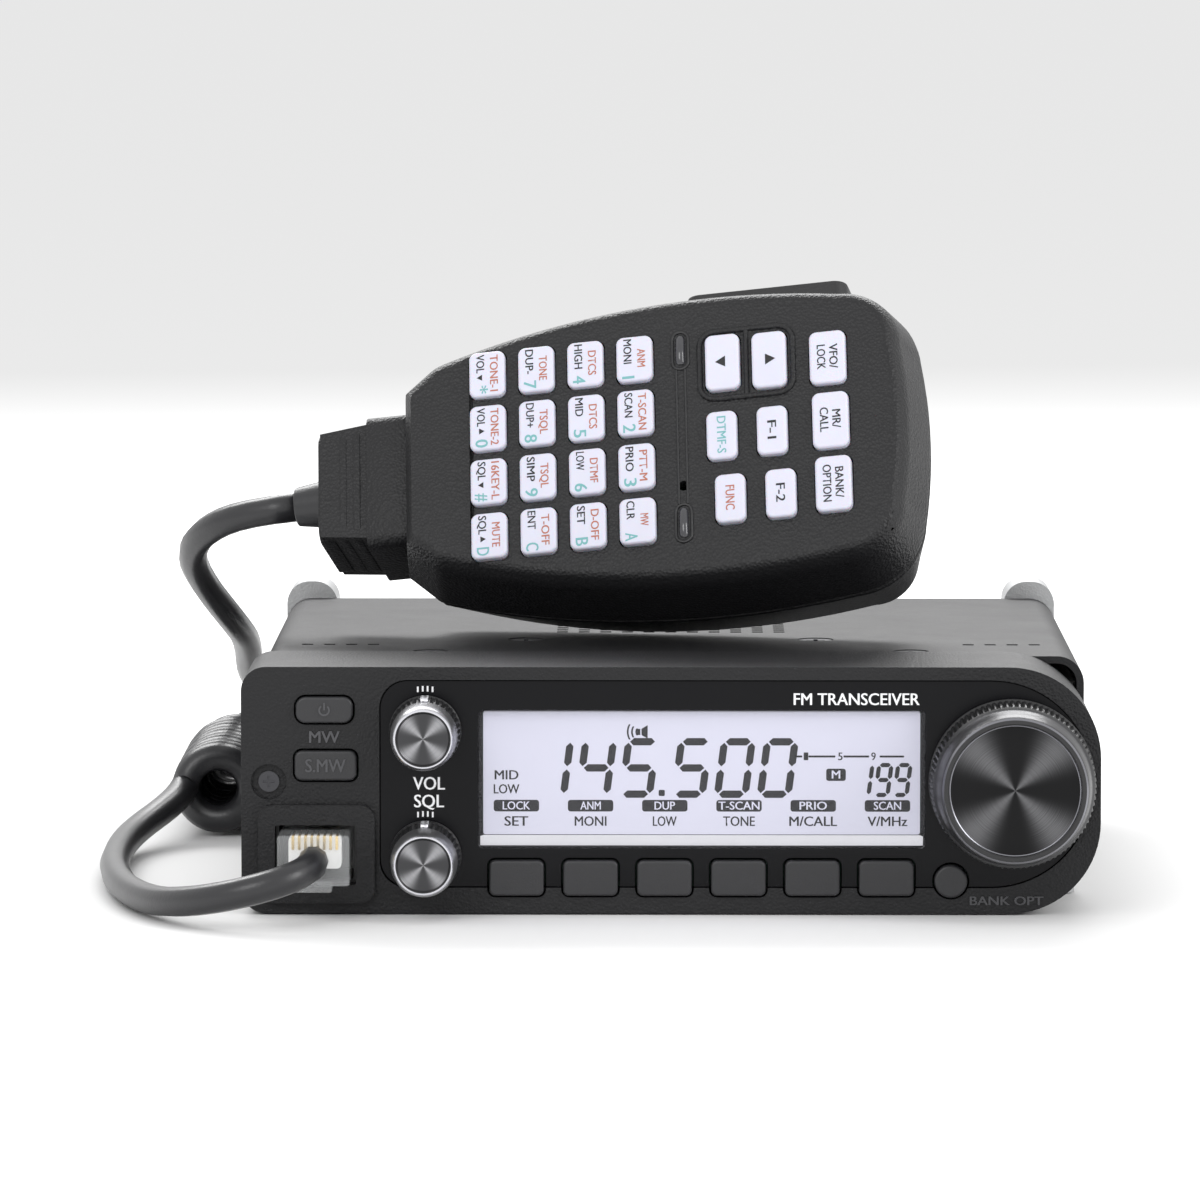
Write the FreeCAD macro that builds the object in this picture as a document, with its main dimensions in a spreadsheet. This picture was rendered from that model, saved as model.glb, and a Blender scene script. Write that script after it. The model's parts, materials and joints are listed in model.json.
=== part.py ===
"""A mobile transceiver with its hand microphone and curly cord, in millimetres.

+X is to the right of the control panel, +Y to the rear and +Z up. The origin is the
centre of the case's underside. The hand microphone has its own axes: X along it from
the cord's end, Y towards its push-to-talk bar and Z out of its keypad.
"""
import FreeCAD, Part
import math
import os
import re

import Sketcher

SIZES = {
    # case
    "panel_width": 140, "panel_height": 40.4, "panel_depth": 27, "panel_wall": 3.4,
    "panel_corner": 4, "panel_round": 15, "case_depth": 146,
    "cover_width": 137, "cover_height": 39.6, "cover_wall": 1.2, "cover_round": 4.5,
    "cover_lift": 1.5, "fit_gap": 0.15, "floor_wall": 3, "side_wall": 4,
    "sink_depth": 12, "ear_height": 42.6, "ear_width": 9, "ear_round": 4,
    "fin_gap": 2.4, "fin_pitch": 5.5, "fin_depth": 6,
    # perforations and screws of the cover
    "grille_hole": 1.9, "grille_pitch": 3.7, "grille_columns": 11, "grille_rows": 12,
    "grille_in": 44, "vent_first": 50, "vent_pitch": 3.7, "vent_in": 20,
    "screw_radius": 1.5, "screw_head": 2.9, "screw_sink": 1.0, "screw_long": 7,
    "front_screw_x": 40, "front_screw_in": 8.6, "rear_screw_x": 24.5, "rear_screw_in": 29.5,
    # face plate and display
    "plate_width": 115.8, "plate_height": 33.7, "plate_x": 10.6, "plate_z": 21.25,
    "plate_thick": 1.5, "plate_sink": 0.4, "plate_left": 4.5, "plate_right": 16.4,
    "glass_width": 72.6, "glass_height": 22.4, "glass_x": 5, "glass_z": 22, "glass_thick": 1.4,
    "lcd_width": 71.2, "lcd_height": 20.1, "lcd_z": 22.85, "lcd_thick": 3,
    # controls of the panel
    "dial_x": 55.5, "dial_z": 21.7, "dial_radius": 13.6, "dial_rim": 11.9, "dial_face": 10.6,
    "dial_tall": 14, "dial_skirt": 9, "shaft_radius": 3, "shaft_gap": 0.05, "bush_radius": 4.5,
    "knob_x": -40, "volume_z": 29.9, "squelch_z": 9.4, "knob_radius": 5.9, "knob_rim": 4.8,
    "knob_face": 4, "knob_tall": 13, "knob_skirt": 4, "pot_radius": 2, "control_gap": 0.4,
    "key_gap": 0.3, "key_proud": 0.9, "key_deep": 5.4, "key_travel": 0.8,
    "function_width": 8.95, "function_height": 5.8, "function_x": -25.15, "function_z": 5.9,
    "function_pitch": 12.05, "function_corner": 1, "bank_x": 45.6, "bank_z": 5.4, "bank_radius": 2.7,
    "power_width": 9.3, "power_height": 4.3, "power_x": -56.4, "power_z": 33.4, "power_corner": 1.6,
    "memory_width": 10.1, "memory_height": 4.9, "memory_x": -56.2, "memory_z": 24.3,
    "memory_corner": 1.2, "face_screw_x": -65.5, "face_screw_z": 21.6, "face_screw_radius": 1.7,
    # microphone jack and plug
    "block_width": 19, "block_height": 16.1, "block_x": -57.7, "block_z": 9.85, "block_round": 2.5,
    "block_proud": 1.2, "jack_width": 12.2, "jack_height": 8.8, "jack_x": -57.9, "jack_z": 9.7,
    "jack_wall": 1.4, "jack_deep": 14, "jack_mouth": 0.5, "plug_width": 11.7, "plug_height": 8.2,
    "plug_inside": 12, "plug_outside": 9, "latch_width": 6, "latch_thick": 1.1, "latch_long": 9.5,
    # inside
    "board_thick": 1.6, "face_board_width": 131, "face_board_height": 33, "face_board_gap": 1.2,
    "main_board_width": 116, "board_front_gap": 11.85, "board_rear_gap": 3, "main_board_z": 9,
    "can_gap": 4, "speaker_can_gap": 5.8,
    "board_depth": "=case_depth - panel_depth - sink_depth - fit_gap - 2 * side_wall"
                   " - board_front_gap - board_rear_gap",
    "board_y": "=(panel_depth + fit_gap - sink_depth + board_front_gap - board_rear_gap) / 2",
    "post_radius": 3.2, "post_room": 4, "speaker_radius": 17,
    "speaker_tall": 8, "speaker_gap": 2,
    # rear connections and bracket holes
    "antenna_x": 50, "antenna_z": 21, "antenna_radius": 7.9, "antenna_bore": 2, "antenna_long": 14,
    "antenna_flange": 11, "flange_thick": 1.6, "power_socket_x": 24, "power_socket_z": 16,
    "power_socket_width": 18, "power_socket_height": 11, "socket_wall": 1.6, "socket_deep": 10,
    "phone_x": 7, "phone_z": 27, "rear_flat_x": 30,
    "rear_flat_width": 66, "phone_radius": 4, "phone_bore": 2.3, "rear_proud": 2.5,
    "bracket_in": 46, "bracket_pitch": 34, "bracket_z": 20, "bracket_radius": 2.05,
    "bracket_room": 4.5,
    # hand microphone, in its own axes
    "mic_yaw": -10, "mic_lean": 27, "mic_roll": 6.5, "mic_x": -58, "mic_y": -2, "mic_rest": 21.85,
    "mic_length": 103, "mic_half": 28, "mic_widest": 58, "mic_shoulder": 13.5,
    "mic_shoulder_half": 15.2, "mic_throat": 19.5, "mic_throat_half": 20.8, "mic_far_half": 26.6,
    "mic_end_half": 15, "mic_corner_long": 12, "mic_crown": 1.2, "mic_front": 13, "mic_rear": 18,
    "mic_front_inset": 3.6, "mic_rear_inset": 7.5, "mic_wall": 2.2, "mic_bevel": 2.4,
    "neck_half": 9.5, "neck_flare": 11.4, "neck_front": 8, "neck_rear": 9, "boot_radius": 4.2,
    "boot_tip": 3.3, "boot_out": 6, "boot_in": 7, "pad_width": 6.2, "pad_height": 8.3,
    "pad_corner": 1.3, "pad_u": 30.6, "pad_pitch": 8.5, "pad_rise": 9.9, "mic_key_gap": 0.25,
    "mic_key_proud": 1, "mic_key_low": 3.3, "well_depth": 4.2,
    "ptt_u": 77, "ptt_long": 28, "ptt_high": 7.5, "ptt_round": 2.5, "ptt_inner": 23.6,
    "ptt_outer": 30.4, "ptt_travel": 1.5, "ptt_gap": 0.35, "mic_board_half": 16.3,
    "mic_board_start": 26, "mic_board_end": 94, "mic_board_top": 8.4, "capsule_radius": 4.8,
    "capsule_u": 64, "capsule_v": -9, "capsule_tall": 3, "stud_u": 62, "stud_radius": 8,
    "stud_neck": 5, "stud_neck_long": 3.4, "stud_head": 2.6,
    # cord
    "cord_radius": 2.5, "coil_radius": 8.25, "coil_x": -79.5, "coil_z": 8.5, "coil_start": 32,
    "coil_corner": 26, "coil_return": 20, "coil_back": 101, "coil_turn_x": -20, "coil_end_x": -38,
}

doc = FreeCAD.newDocument("mobile_transceiver")
sheet = doc.addObject("Spreadsheet::Sheet", "sizes")
for row, (alias, number) in enumerate(SIZES.items(), 1):
    sheet.set(f"A{row}", alias)
    sheet.set(f"B{row}", str(number))
    sheet.setAlias(f"B{row}", alias)
doc.recompute()


# ---- the document's tools ----

def cells(expression):
    """The expression with each size's name pointed at its cell of the sheet."""
    return re.sub(r"[a-z]\w*", lambda word: "sizes." + word.group(), str(expression))


def value(expression):
    """An expression's number, in millimetres or degrees."""
    return float(sheet.evalExpression(cells(expression)))


def bind(thing, property_name, expression):
    thing.setExpression(property_name, cells(expression))


def new_body(label, x="0", y="0", z="0"):
    """A sub-part, placed at x, y, z."""
    body = doc.addObject("PartDesign::Body", label)
    body.Label = label
    for axis, expression in zip("xyz", (x, y, z)):
        bind(body, "Placement.Base." + axis, expression)
    return body


def sketch_on(body, role, lift="0", at=("0", "0")):
    """An empty sketch on one of the body's own planes, lifted along the plane's normal."""
    sketch = body.newObject("Sketcher::SketchObject", "Sketch")
    plane = next(p for p in body.Origin.OriginFeatures if p.Role == role)
    sketch.AttachmentSupport = [(plane, "")]
    sketch.MapMode = "FlatFace"
    for axis, expression in zip("xyz", (*at, lift)):
        bind(sketch, "AttachmentOffset.Base." + axis, expression)
    return sketch


def hold(sketch, kind, geometry, point, expression):
    """Holds a point of the sketch at a signed distance from the sketch's origin."""
    if abs(value(expression)) < 1e-9:
        axis = -2 if kind == "DistanceX" else -1
        sketch.addConstraint(Sketcher.Constraint("PointOnObject", geometry, point, axis))
        return
    number = sketch.addConstraint(
        Sketcher.Constraint(kind, -1, 1, geometry, point, value(expression)))
    bind(sketch, f"Constraints[{number}]", expression)


def rounded(sketch, width, height, left, right=None):
    """A rectangle about the sketch's origin, with round corners of radius left and right."""
    half_x = value(width) / 2
    half_y = value(height) / 2
    corners = [(1, 1, right or left), (-1, 1, left), (-1, -1, left), (1, -1, right or left)]
    ends = []
    for quarter, (side, rise, radius) in enumerate(corners):
        size = value(radius)
        middle = FreeCAD.Vector(side * (half_x - size), rise * (half_y - size), 0)
        circle = Part.Circle(middle, FreeCAD.Vector(0, 0, 1), size)
        start = quarter * math.pi / 2
        arc = Part.ArcOfCircle(circle, start, start + math.pi / 2)
        sketch.addGeometry(arc)
        ends.append((arc.StartPoint, arc.EndPoint))
    for i in range(4):
        sketch.addGeometry(Part.LineSegment(ends[i][1], ends[(i + 1) % 4][0]))
    for i in range(4):
        sketch.addConstraint(Sketcher.Constraint("Tangent", i, 2, 4 + i, 1))
        sketch.addConstraint(Sketcher.Constraint("Tangent", 4 + i, 2, (i + 1) % 4, 1))
        sketch.addConstraint(Sketcher.Constraint("Vertical" if i % 2 else "Horizontal", 4 + i))
        number = sketch.addConstraint(Sketcher.Constraint("Radius", i, value(corners[i][2])))
        bind(sketch, f"Constraints[{number}]", corners[i][2])
    hold(sketch, "DistanceY", 4, 1, f"({height}) / 2")
    hold(sketch, "DistanceX", 5, 1, f"-({width}) / 2")
    hold(sketch, "DistanceY", 6, 1, f"-({height}) / 2")
    hold(sketch, "DistanceX", 7, 1, f"({width}) / 2")


def circles(sketch, radius, centres=(("0", "0"),)):
    """Circles of one radius."""
    for i, (x, y) in enumerate(centres):
        centre = FreeCAD.Vector(value(x), value(y), 0)
        sketch.addGeometry(Part.Circle(centre, FreeCAD.Vector(0, 0, 1), value(radius)))
        hold(sketch, "DistanceX", i, 3, x)
        hold(sketch, "DistanceY", i, 3, y)
        number = sketch.addConstraint(Sketcher.Constraint("Radius", i, value(radius)))
        bind(sketch, f"Constraints[{number}]", radius)


def outline(sketch, corners):
    """A closed outline. A corner is (x, y), or (x, y, via x, via y) where an arc leaves it."""
    points = [FreeCAD.Vector(value(c[0]), value(c[1]), 0) for c in corners]
    ends = []
    for point, after, corner in zip(points, points[1:] + points[:1], corners):
        if len(corner) == 2:
            sketch.addGeometry(Part.LineSegment(point, after))
            ends.append((1, 2))
            continue
        via = FreeCAD.Vector(value(corner[2]), value(corner[3]), 0)
        leftward = (via - point).cross(after - via).z > 0
        circle = Part.Circle(point, via, after)
        circle = Part.Circle(circle.Center, FreeCAD.Vector(0, 0, 1), circle.Radius)
        angles = [math.atan2(p.y - circle.Center.y, p.x - circle.Center.x) for p in (point, after)]
        sketch.addGeometry(Part.ArcOfCircle(circle, *(angles if leftward else angles[::-1])))
        ends.append((1, 2) if leftward else (2, 1))
    for i, corner in enumerate(corners):
        following = (i + 1) % len(corners)
        hold(sketch, "DistanceX", i, ends[i][0], corner[0])
        hold(sketch, "DistanceY", i, ends[i][0], corner[1])
        sketch.addConstraint(
            Sketcher.Constraint("Coincident", i, ends[i][1], following, ends[following][0]))
    for i, corner in enumerate(corners):
        if len(corner) == 4:
            via = FreeCAD.Vector(value(corner[2]), value(corner[3]), 0)
            number = sketch.addGeometry(Part.Point(via), True)
            hold(sketch, "DistanceX", number, 1, corner[2])
            hold(sketch, "DistanceY", number, 1, corner[3])
            sketch.addConstraint(Sketcher.Constraint("PointOnObject", number, 1, i))


def pad(body, sketch, length, backwards=False):
    feature = body.newObject("PartDesign::Pad", "Pad")
    feature.Profile = sketch
    feature.Reversed = backwards
    bind(feature, "Length", length)
    return feature


def pocket(body, sketch, length, backwards=False):
    feature = body.newObject("PartDesign::Pocket", "Pocket")
    feature.Profile = sketch
    feature.Reversed = backwards
    bind(feature, "Length", length)
    return feature


def revolve(body, sketch, axis="V_Axis"):
    feature = body.newObject("PartDesign::Revolution", "Revolution")
    feature.Profile = sketch
    feature.ReferenceAxis = (sketch, [axis])
    feature.Angle = 360
    return feature


def loft(body, kind, sketches):
    feature = body.newObject("PartDesign::" + kind, "Loft")
    feature.Profile = sketches[0]
    feature.Sections = sketches[1:]
    feature.Ruled = True
    return feature


def row_step(body, sketch, axis, count, length):
    """A row along one of the sketch's axes, as a step of a pattern."""
    step = body.newObject("PartDesign::LinearPattern", "Row")
    step.Direction = (sketch, [axis])
    bind(step, "Length", length)
    step.Occurrences = round(value(count))
    return step


def mirror_step(body):
    """A mirror image across the body's middle, as a step of a pattern."""
    step = body.newObject("PartDesign::Mirrored", "Mirror")
    plane = next(p for p in body.Origin.OriginFeatures if p.Role == "YZ_Plane")
    step.MirrorPlane = (plane, [""])
    return step


def pattern(body, feature, steps):
    """The feature repeated by one step after another."""
    repeated = body.newObject("PartDesign::MultiTransform", "Pattern")
    repeated.Originals = [feature]
    repeated.Transformations = steps
    body.Tip = repeated


def front_slab(body, back, thick, width, height, left, right=None, at=("0", "0")):
    """A plate that faces the front: its back face at Y back, its outline about at."""
    sketch = sketch_on(body, "XZ_Plane", f"-({back})", at)
    rounded(sketch, width, height, left, right)
    return pad(body, sketch, thick)


def front_hole(body, front, depth, width, height, left, right=None, at=("0", "0")):
    """A straight-sided hole that goes back from Y front."""
    sketch = sketch_on(body, "XZ_Plane", f"-({front})", at)
    rounded(sketch, width, height, left, right)
    return pocket(body, sketch, depth)


def front_bores(body, front, depth, radius, centres):
    """Round holes that go back from Y front."""
    sketch = sketch_on(body, "XZ_Plane", f"-({front})")
    circles(sketch, radius, centres)
    return pocket(body, sketch, depth)


# ---- the case ----

FRONT = "-case_depth / 2"
REAR = "case_depth / 2"
PANEL_BACK = "-case_depth / 2 + panel_depth"
WALL_BACK = "-case_depth / 2 + panel_wall"
SINK_FRONT = "case_depth / 2 - sink_depth"
GRILLE_Y = f"({SINK_FRONT} - grille_in)"
BRACKET_Y = f"({SINK_FRONT} - bracket_in)"
PLATE_FRONT = "-case_depth / 2 + plate_sink"


def chassis():
    """The cast tub: floor, side walls, and a finned heat sink with two raised ears."""
    body = new_body("chassis")
    inside = "cover_width - 2 * cover_wall - 2 * fit_gap"
    length = "case_depth - panel_depth - sink_depth - fit_gap"
    middle = "(panel_depth + fit_gap - sink_depth) / 2"
    tub = sketch_on(body, "XY_Plane", "0", ("0", middle))
    rounded(tub, inside, length, "floor_wall")
    pad(body, tub, "cover_height - cover_round")
    room = sketch_on(body, "XY_Plane", "case_depth", ("0", middle))
    rounded(room, f"{inside} - 2 * side_wall", f"{length} - 2 * side_wall", "floor_wall")
    pocket(body, room, "case_depth - floor_wall")
    sink = sketch_on(body, "XY_Plane", "0", ("0", f"{REAR} - sink_depth / 2"))
    rounded(sink, "cover_width", "sink_depth", "ear_round / 2")
    pad(body, sink, "cover_height - cover_round / 2")
    for side in ("-", ""):
        ear = sketch_on(body, "XZ_Plane", f"-({SINK_FRONT})",
                        (f"{side}(cover_width - ear_width) / 2", "ear_height / 2"))
        rounded(ear, "ear_width", "ear_height", "ear_round")
        pad(body, ear, "sink_depth", True)
    fin = sketch_on(body, "XY_Plane", "0",
                    ("-fin_pitch * 10.5", f"{REAR} - fin_depth / 2 + fit_gap"))
    rounded(fin, "fin_gap", "fin_depth + 2 * fit_gap", "fin_gap / 4")
    slot = pocket(body, fin, "cover_height", True)
    row = body.newObject("PartDesign::LinearPattern", "Fins")
    row.Originals = [slot]
    row.Direction = (fin, ["H_Axis"])
    bind(row, "Length", "fin_pitch * 21")
    row.Occurrences = 22
    body.Tip = row
    flat = sketch_on(body, "XZ_Plane", f"-({REAR} - fin_depth)", ("rear_flat_x", "antenna_z"))
    rounded(flat, "rear_flat_width", "2 * antenna_flange + 4", "1")
    pad(body, flat, "fin_depth", True)
    posts = sketch_on(body, "XY_Plane")
    circles(posts, "post_radius", COVER_SCREWS)
    pad(body, posts, "cover_height - cover_wall - fit_gap")
    taps = sketch_on(body, "XY_Plane", "cover_height")
    circles(taps, "screw_radius + shaft_gap", COVER_SCREWS)
    pocket(body, taps, "screw_long + cover_wall + 2")
    return body


def chassis_openings(body):
    """The rear wall's holes for its sockets, and the bracket's threaded side holes."""
    through = "sink_depth + side_wall + 2"
    front_bores(body, f"{SINK_FRONT} - side_wall - 1", through, "antenna_radius - 2 + fit_gap",
                [("antenna_x", "antenna_z")])
    front_bores(body, f"{SINK_FRONT} - side_wall - 1", through, "phone_radius + fit_gap",
                [("phone_x", "phone_z")])
    front_hole(body, f"{SINK_FRONT} - side_wall - 1", through,
               "power_socket_width + 2 * fit_gap", "power_socket_height + 2 * fit_gap", "1.2",
               at=("power_socket_x", "power_socket_z"))
    sides = sketch_on(body, "YZ_Plane", "cover_width")
    circles(sides, "bracket_radius", [(BRACKET_Y, "bracket_z"),
                                      (f"{BRACKET_Y} + bracket_pitch", "bracket_z")])
    pocket(body, sides, "cover_width * 2")


def top_cover():
    """The folded cover: open below and at both ends, perforated over the speaker."""
    body = new_body("top_cover")
    start = f"-({SINK_FRONT} - fit_gap)"
    length = "case_depth - panel_depth - sink_depth - 2 * fit_gap"
    shell = sketch_on(body, "XZ_Plane", start, ("0", "cover_height / 2"))
    rounded(shell, "cover_width", "cover_height", "cover_round")
    pad(body, shell, length)
    room = sketch_on(body, "XZ_Plane", f"-({PANEL_BACK})",
                     ("0", "cover_height / 2 - cover_wall"))
    rounded(room, "cover_width - 2 * cover_wall", "cover_height", "cover_round - cover_wall")
    pocket(body, room, "case_depth")
    below = sketch_on(body, "XY_Plane", "cover_lift")
    rounded(below, "cover_width * 2", "case_depth * 2", "1")
    pocket(body, below, "cover_height")
    holes = sketch_on(body, "XY_Plane", "cover_height + 1",
                      ("-grille_pitch * (grille_columns - 1) / 2",
                       f"{GRILLE_Y} - grille_pitch * (grille_rows - 1) / 2"))
    rounded(holes, "grille_hole", "grille_hole", "grille_hole / 8")
    repeated = pocket(body, holes, "cover_wall + 2")
    pattern(body, repeated, [
        row_step(body, holes, "H_Axis", "grille_columns", "grille_pitch * (grille_columns - 1)"),
        row_step(body, holes, "V_Axis", "grille_rows", "grille_pitch * (grille_rows - 1)")])
    vents = sketch_on(body, "XY_Plane", "cover_height + 1",
                      ("vent_first", f"{PANEL_BACK} + vent_in"))
    rounded(vents, "grille_hole", "grille_hole", "grille_hole / 8")
    repeated = pocket(body, vents, "cover_wall + 2")
    pattern(body, repeated, [row_step(body, vents, "H_Axis", "4", "vent_pitch * 3"),
                             mirror_step(body)])
    for radius, depth in (("screw_head + fit_gap", "screw_sink + 1"),
                          ("screw_radius + fit_gap", "cover_wall + 2")):
        seats = sketch_on(body, "XY_Plane", "cover_height + 1")
        circles(seats, radius, COVER_SCREWS)
        pocket(body, seats, depth)
    sides = sketch_on(body, "YZ_Plane", "cover_width")
    circles(sides, "bracket_room", [(BRACKET_Y, "bracket_z"),
                                    (f"{BRACKET_Y} + bracket_pitch", "bracket_z")])
    pocket(body, sides, "cover_width * 2")
    return body


COVER_SCREWS = [
    ("front_screw_x", f"{PANEL_BACK} + front_screw_in"),
    ("-front_screw_x", f"{PANEL_BACK} + front_screw_in"),
    ("rear_screw_x", f"{PANEL_BACK} + rear_screw_in"),
    ("-rear_screw_x", f"{PANEL_BACK} + rear_screw_in"),
]


def screws():
    """The cover's four screws and the panel's one, each with a cross in its head."""
    made = []
    depth = "screw_sink - fit_gap"
    for number, (x, y) in enumerate(COVER_SCREWS, 1):
        screw = new_body(f"cover_screw_{number}", x, y, "cover_height - screw_sink")
        head = sketch_on(screw, "XY_Plane")
        circles(head, "screw_head")
        pad(screw, head, depth)
        shank = sketch_on(screw, "XY_Plane")
        circles(shank, "screw_radius")
        pad(screw, shank, "screw_long", True)
        cross(screw, "XY_Plane", depth, "screw_head")
        made.append(screw)
    screw = new_body("panel_screw", "face_screw_x", f"{FRONT} + 1", "face_screw_z")
    head = sketch_on(screw, "XZ_Plane")
    circles(head, "face_screw_radius")
    pad(screw, head, "screw_sink / 2")
    shank = sketch_on(screw, "XZ_Plane")
    circles(shank, "screw_radius / 2")
    pad(screw, shank, "panel_wall", True)
    cross(screw, "XZ_Plane", "screw_sink / 2", "face_screw_radius")
    made.append(screw)
    return made


def cross(body, role, top, radius):
    """A cross-shaped driver recess in a screw's head."""
    for width, height in ((f"{radius} * 1.1", f"{radius} / 4"), (f"{radius} / 4", f"{radius} * 1.1")):
        arm = sketch_on(body, role, top)
        rounded(arm, width, height, f"{radius} / 20")
        pocket(body, arm, f"{radius} / 8")


# ---- the control panel ----

FUNCTION_KEYS = [f"function_x + {i} * function_pitch" for i in range(6)]
KNOBS = {"volume_knob": "volume_z", "squelch_knob": "squelch_z"}
PLATE_AT = ("plate_x", "plate_z")


def function_key_holes(body, front, depth):
    for x in FUNCTION_KEYS:
        front_hole(body, front, depth, "function_width + 2 * key_gap",
                   "function_height + 2 * key_gap", "function_corner + key_gap",
                   at=(x, "function_z"))
    front_bores(body, front, depth, "bank_radius + key_gap", [("bank_x", "bank_z")])


def front_panel():
    """The moulded front: a hollow box with a recess for the face plate and a jack block."""
    body = new_body("front_panel")
    front_slab(body, PANEL_BACK, "panel_depth", "panel_width", "panel_height",
               "panel_corner", "panel_round", ("0", "panel_height / 2"))
    block = sketch_on(body, "XZ_Plane", f"-({FRONT} + 1)", ("block_x", "block_z"))
    rounded(block, "block_width", "block_height", "block_round")
    pad(body, block, "block_proud + 1")
    room = sketch_on(body, "XZ_Plane", f"-({PANEL_BACK})", ("0", "panel_height / 2"))
    rounded(room, "panel_width - 2 * panel_wall * 0.7", "panel_height - 2 * panel_wall * 0.7",
            "panel_corner / 2", "panel_round - panel_wall * 0.7")
    pocket(body, room, "panel_depth - panel_wall", True)
    front_hole(body, FRONT, "plate_thick + plate_sink + 0.05", "plate_width + 2 * fit_gap",
               "plate_height + 2 * fit_gap", "plate_left", "plate_right + fit_gap", PLATE_AT)
    through = "panel_wall + 1"
    front_hole(body, FRONT, through, "lcd_width + 2 * fit_gap", "lcd_height + 2 * fit_gap", "0.5",
               at=("glass_x", "lcd_z"))
    front_bores(body, FRONT, through, "bush_radius + control_gap", [("dial_x", "dial_z")])
    front_bores(body, FRONT, through, "pot_radius + 2",
                [("knob_x", height) for height in KNOBS.values()])
    function_key_holes(body, FRONT, through)
    front_hole(body, FRONT, through, "power_width + 2 * key_gap", "power_height + 2 * key_gap",
               "power_corner + key_gap", at=("power_x", "power_z"))
    front_hole(body, FRONT, through, "memory_width + 2 * key_gap", "memory_height + 2 * key_gap",
               "memory_corner + key_gap", at=("memory_x", "memory_z"))
    front_hole(body, f"{FRONT} - block_proud", "panel_wall + block_proud + 1",
               "jack_width + 2 * jack_mouth", "jack_height + 2 * jack_mouth", "jack_mouth",
               at=("jack_x", "jack_z"))
    front_bores(body, FRONT, "1", "face_screw_radius + 1.2", [("face_screw_x", "face_screw_z")])
    front_bores(body, FRONT, through, "screw_radius / 2 + fit_gap",
                [("face_screw_x", "face_screw_z")])
    return body


def face_plate():
    body = new_body("face_plate")
    front_slab(body, f"{PLATE_FRONT} + plate_thick", "plate_thick", "plate_width",
               "plate_height", "plate_left", "plate_right", PLATE_AT)
    front_hole(body, PLATE_FRONT, "plate_thick + 1", "glass_width + 2 * fit_gap",
               "glass_height + 2 * fit_gap", "1", at=("glass_x", "glass_z"))
    front_bores(body, PLATE_FRONT, "plate_thick + 1", "bush_radius + control_gap",
                [("dial_x", "dial_z")])
    front_bores(body, PLATE_FRONT, "plate_thick + 1", "pot_radius + 2",
                [("knob_x", height) for height in KNOBS.values()])
    function_key_holes(body, PLATE_FRONT, "plate_thick + 1")
    return body


def display_glass():
    body = new_body("display_glass")
    front_slab(body, f"{PLATE_FRONT} + glass_thick", "glass_thick", "glass_width",
               "glass_height", "0.8", at=("glass_x", "glass_z"))
    return body


def lcd_panel():
    body = new_body("lcd_panel")
    front_slab(body, f"{PLATE_FRONT} + plate_thick + 0.1 + lcd_thick", "lcd_thick",
               "lcd_width", "lcd_height", "0.4", at=("glass_x", "lcd_z"))
    return body


def turned(label, x, z, back, profile):
    """A piece turned about an axis along Y through x, z. Its profile is (radius, forward)."""
    body = new_body(label, x, back, z)
    sketch = sketch_on(body, "XY_Plane")
    outline(sketch, [(radius, f"-({forward})") for radius, forward in profile])
    revolve(body, sketch)
    return body


def main_dial():
    """The tuning dial: a grip, a bevel and a face sunk inside a thin rim."""
    return turned("main_dial", "dial_x", "dial_z", f"{PLATE_FRONT} - control_gap", [
        ("shaft_radius + shaft_gap", "0"), ("dial_radius", "0"), ("dial_radius", "dial_skirt"),
        ("dial_rim", "dial_tall"), ("dial_face", "dial_tall"), ("dial_face", "dial_tall - 0.8"),
        ("0", "dial_tall - 0.8"), ("0", "dial_tall - 2.4"),
        ("shaft_radius + shaft_gap", "dial_tall - 2.4")])


def small_knob(label, height):
    """A volume or squelch knob, with its pointer's end standing proud of the rim."""
    return turned(label, "knob_x", height, f"{PLATE_FRONT} - control_gap", [
        ("pot_radius + shaft_gap", "0"), ("knob_radius", "0"), ("knob_radius", "knob_skirt"),
        ("knob_radius - 0.4", "knob_tall - 1.5"), ("knob_rim", "knob_tall"),
        ("knob_face", "knob_tall"), ("knob_face", "knob_tall - 0.5"), ("0", "knob_tall - 0.5"),
        ("0", "knob_tall - 2.2"), ("pot_radius + shaft_gap", "knob_tall - 2.2")])


def panel_key(label, x, z, width, height, corner):
    """A key that stands proud of the panel and reaches back behind it."""
    body = new_body(label, x, f"{FRONT} - key_proud + key_deep", z)
    sketch = sketch_on(body, "XZ_Plane")
    rounded(sketch, width, height, corner)
    pad(body, sketch, "key_deep")
    return body


def bank_key():
    body = new_body("bank_key", "bank_x", f"{FRONT} - key_proud + key_deep", "bank_z")
    sketch = sketch_on(body, "XZ_Plane")
    circles(sketch, "bank_radius")
    pad(body, sketch, "key_deep")
    return body


BOARD_FRONT = "-case_depth / 2 - key_proud + key_deep + key_travel + face_board_gap"


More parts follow.
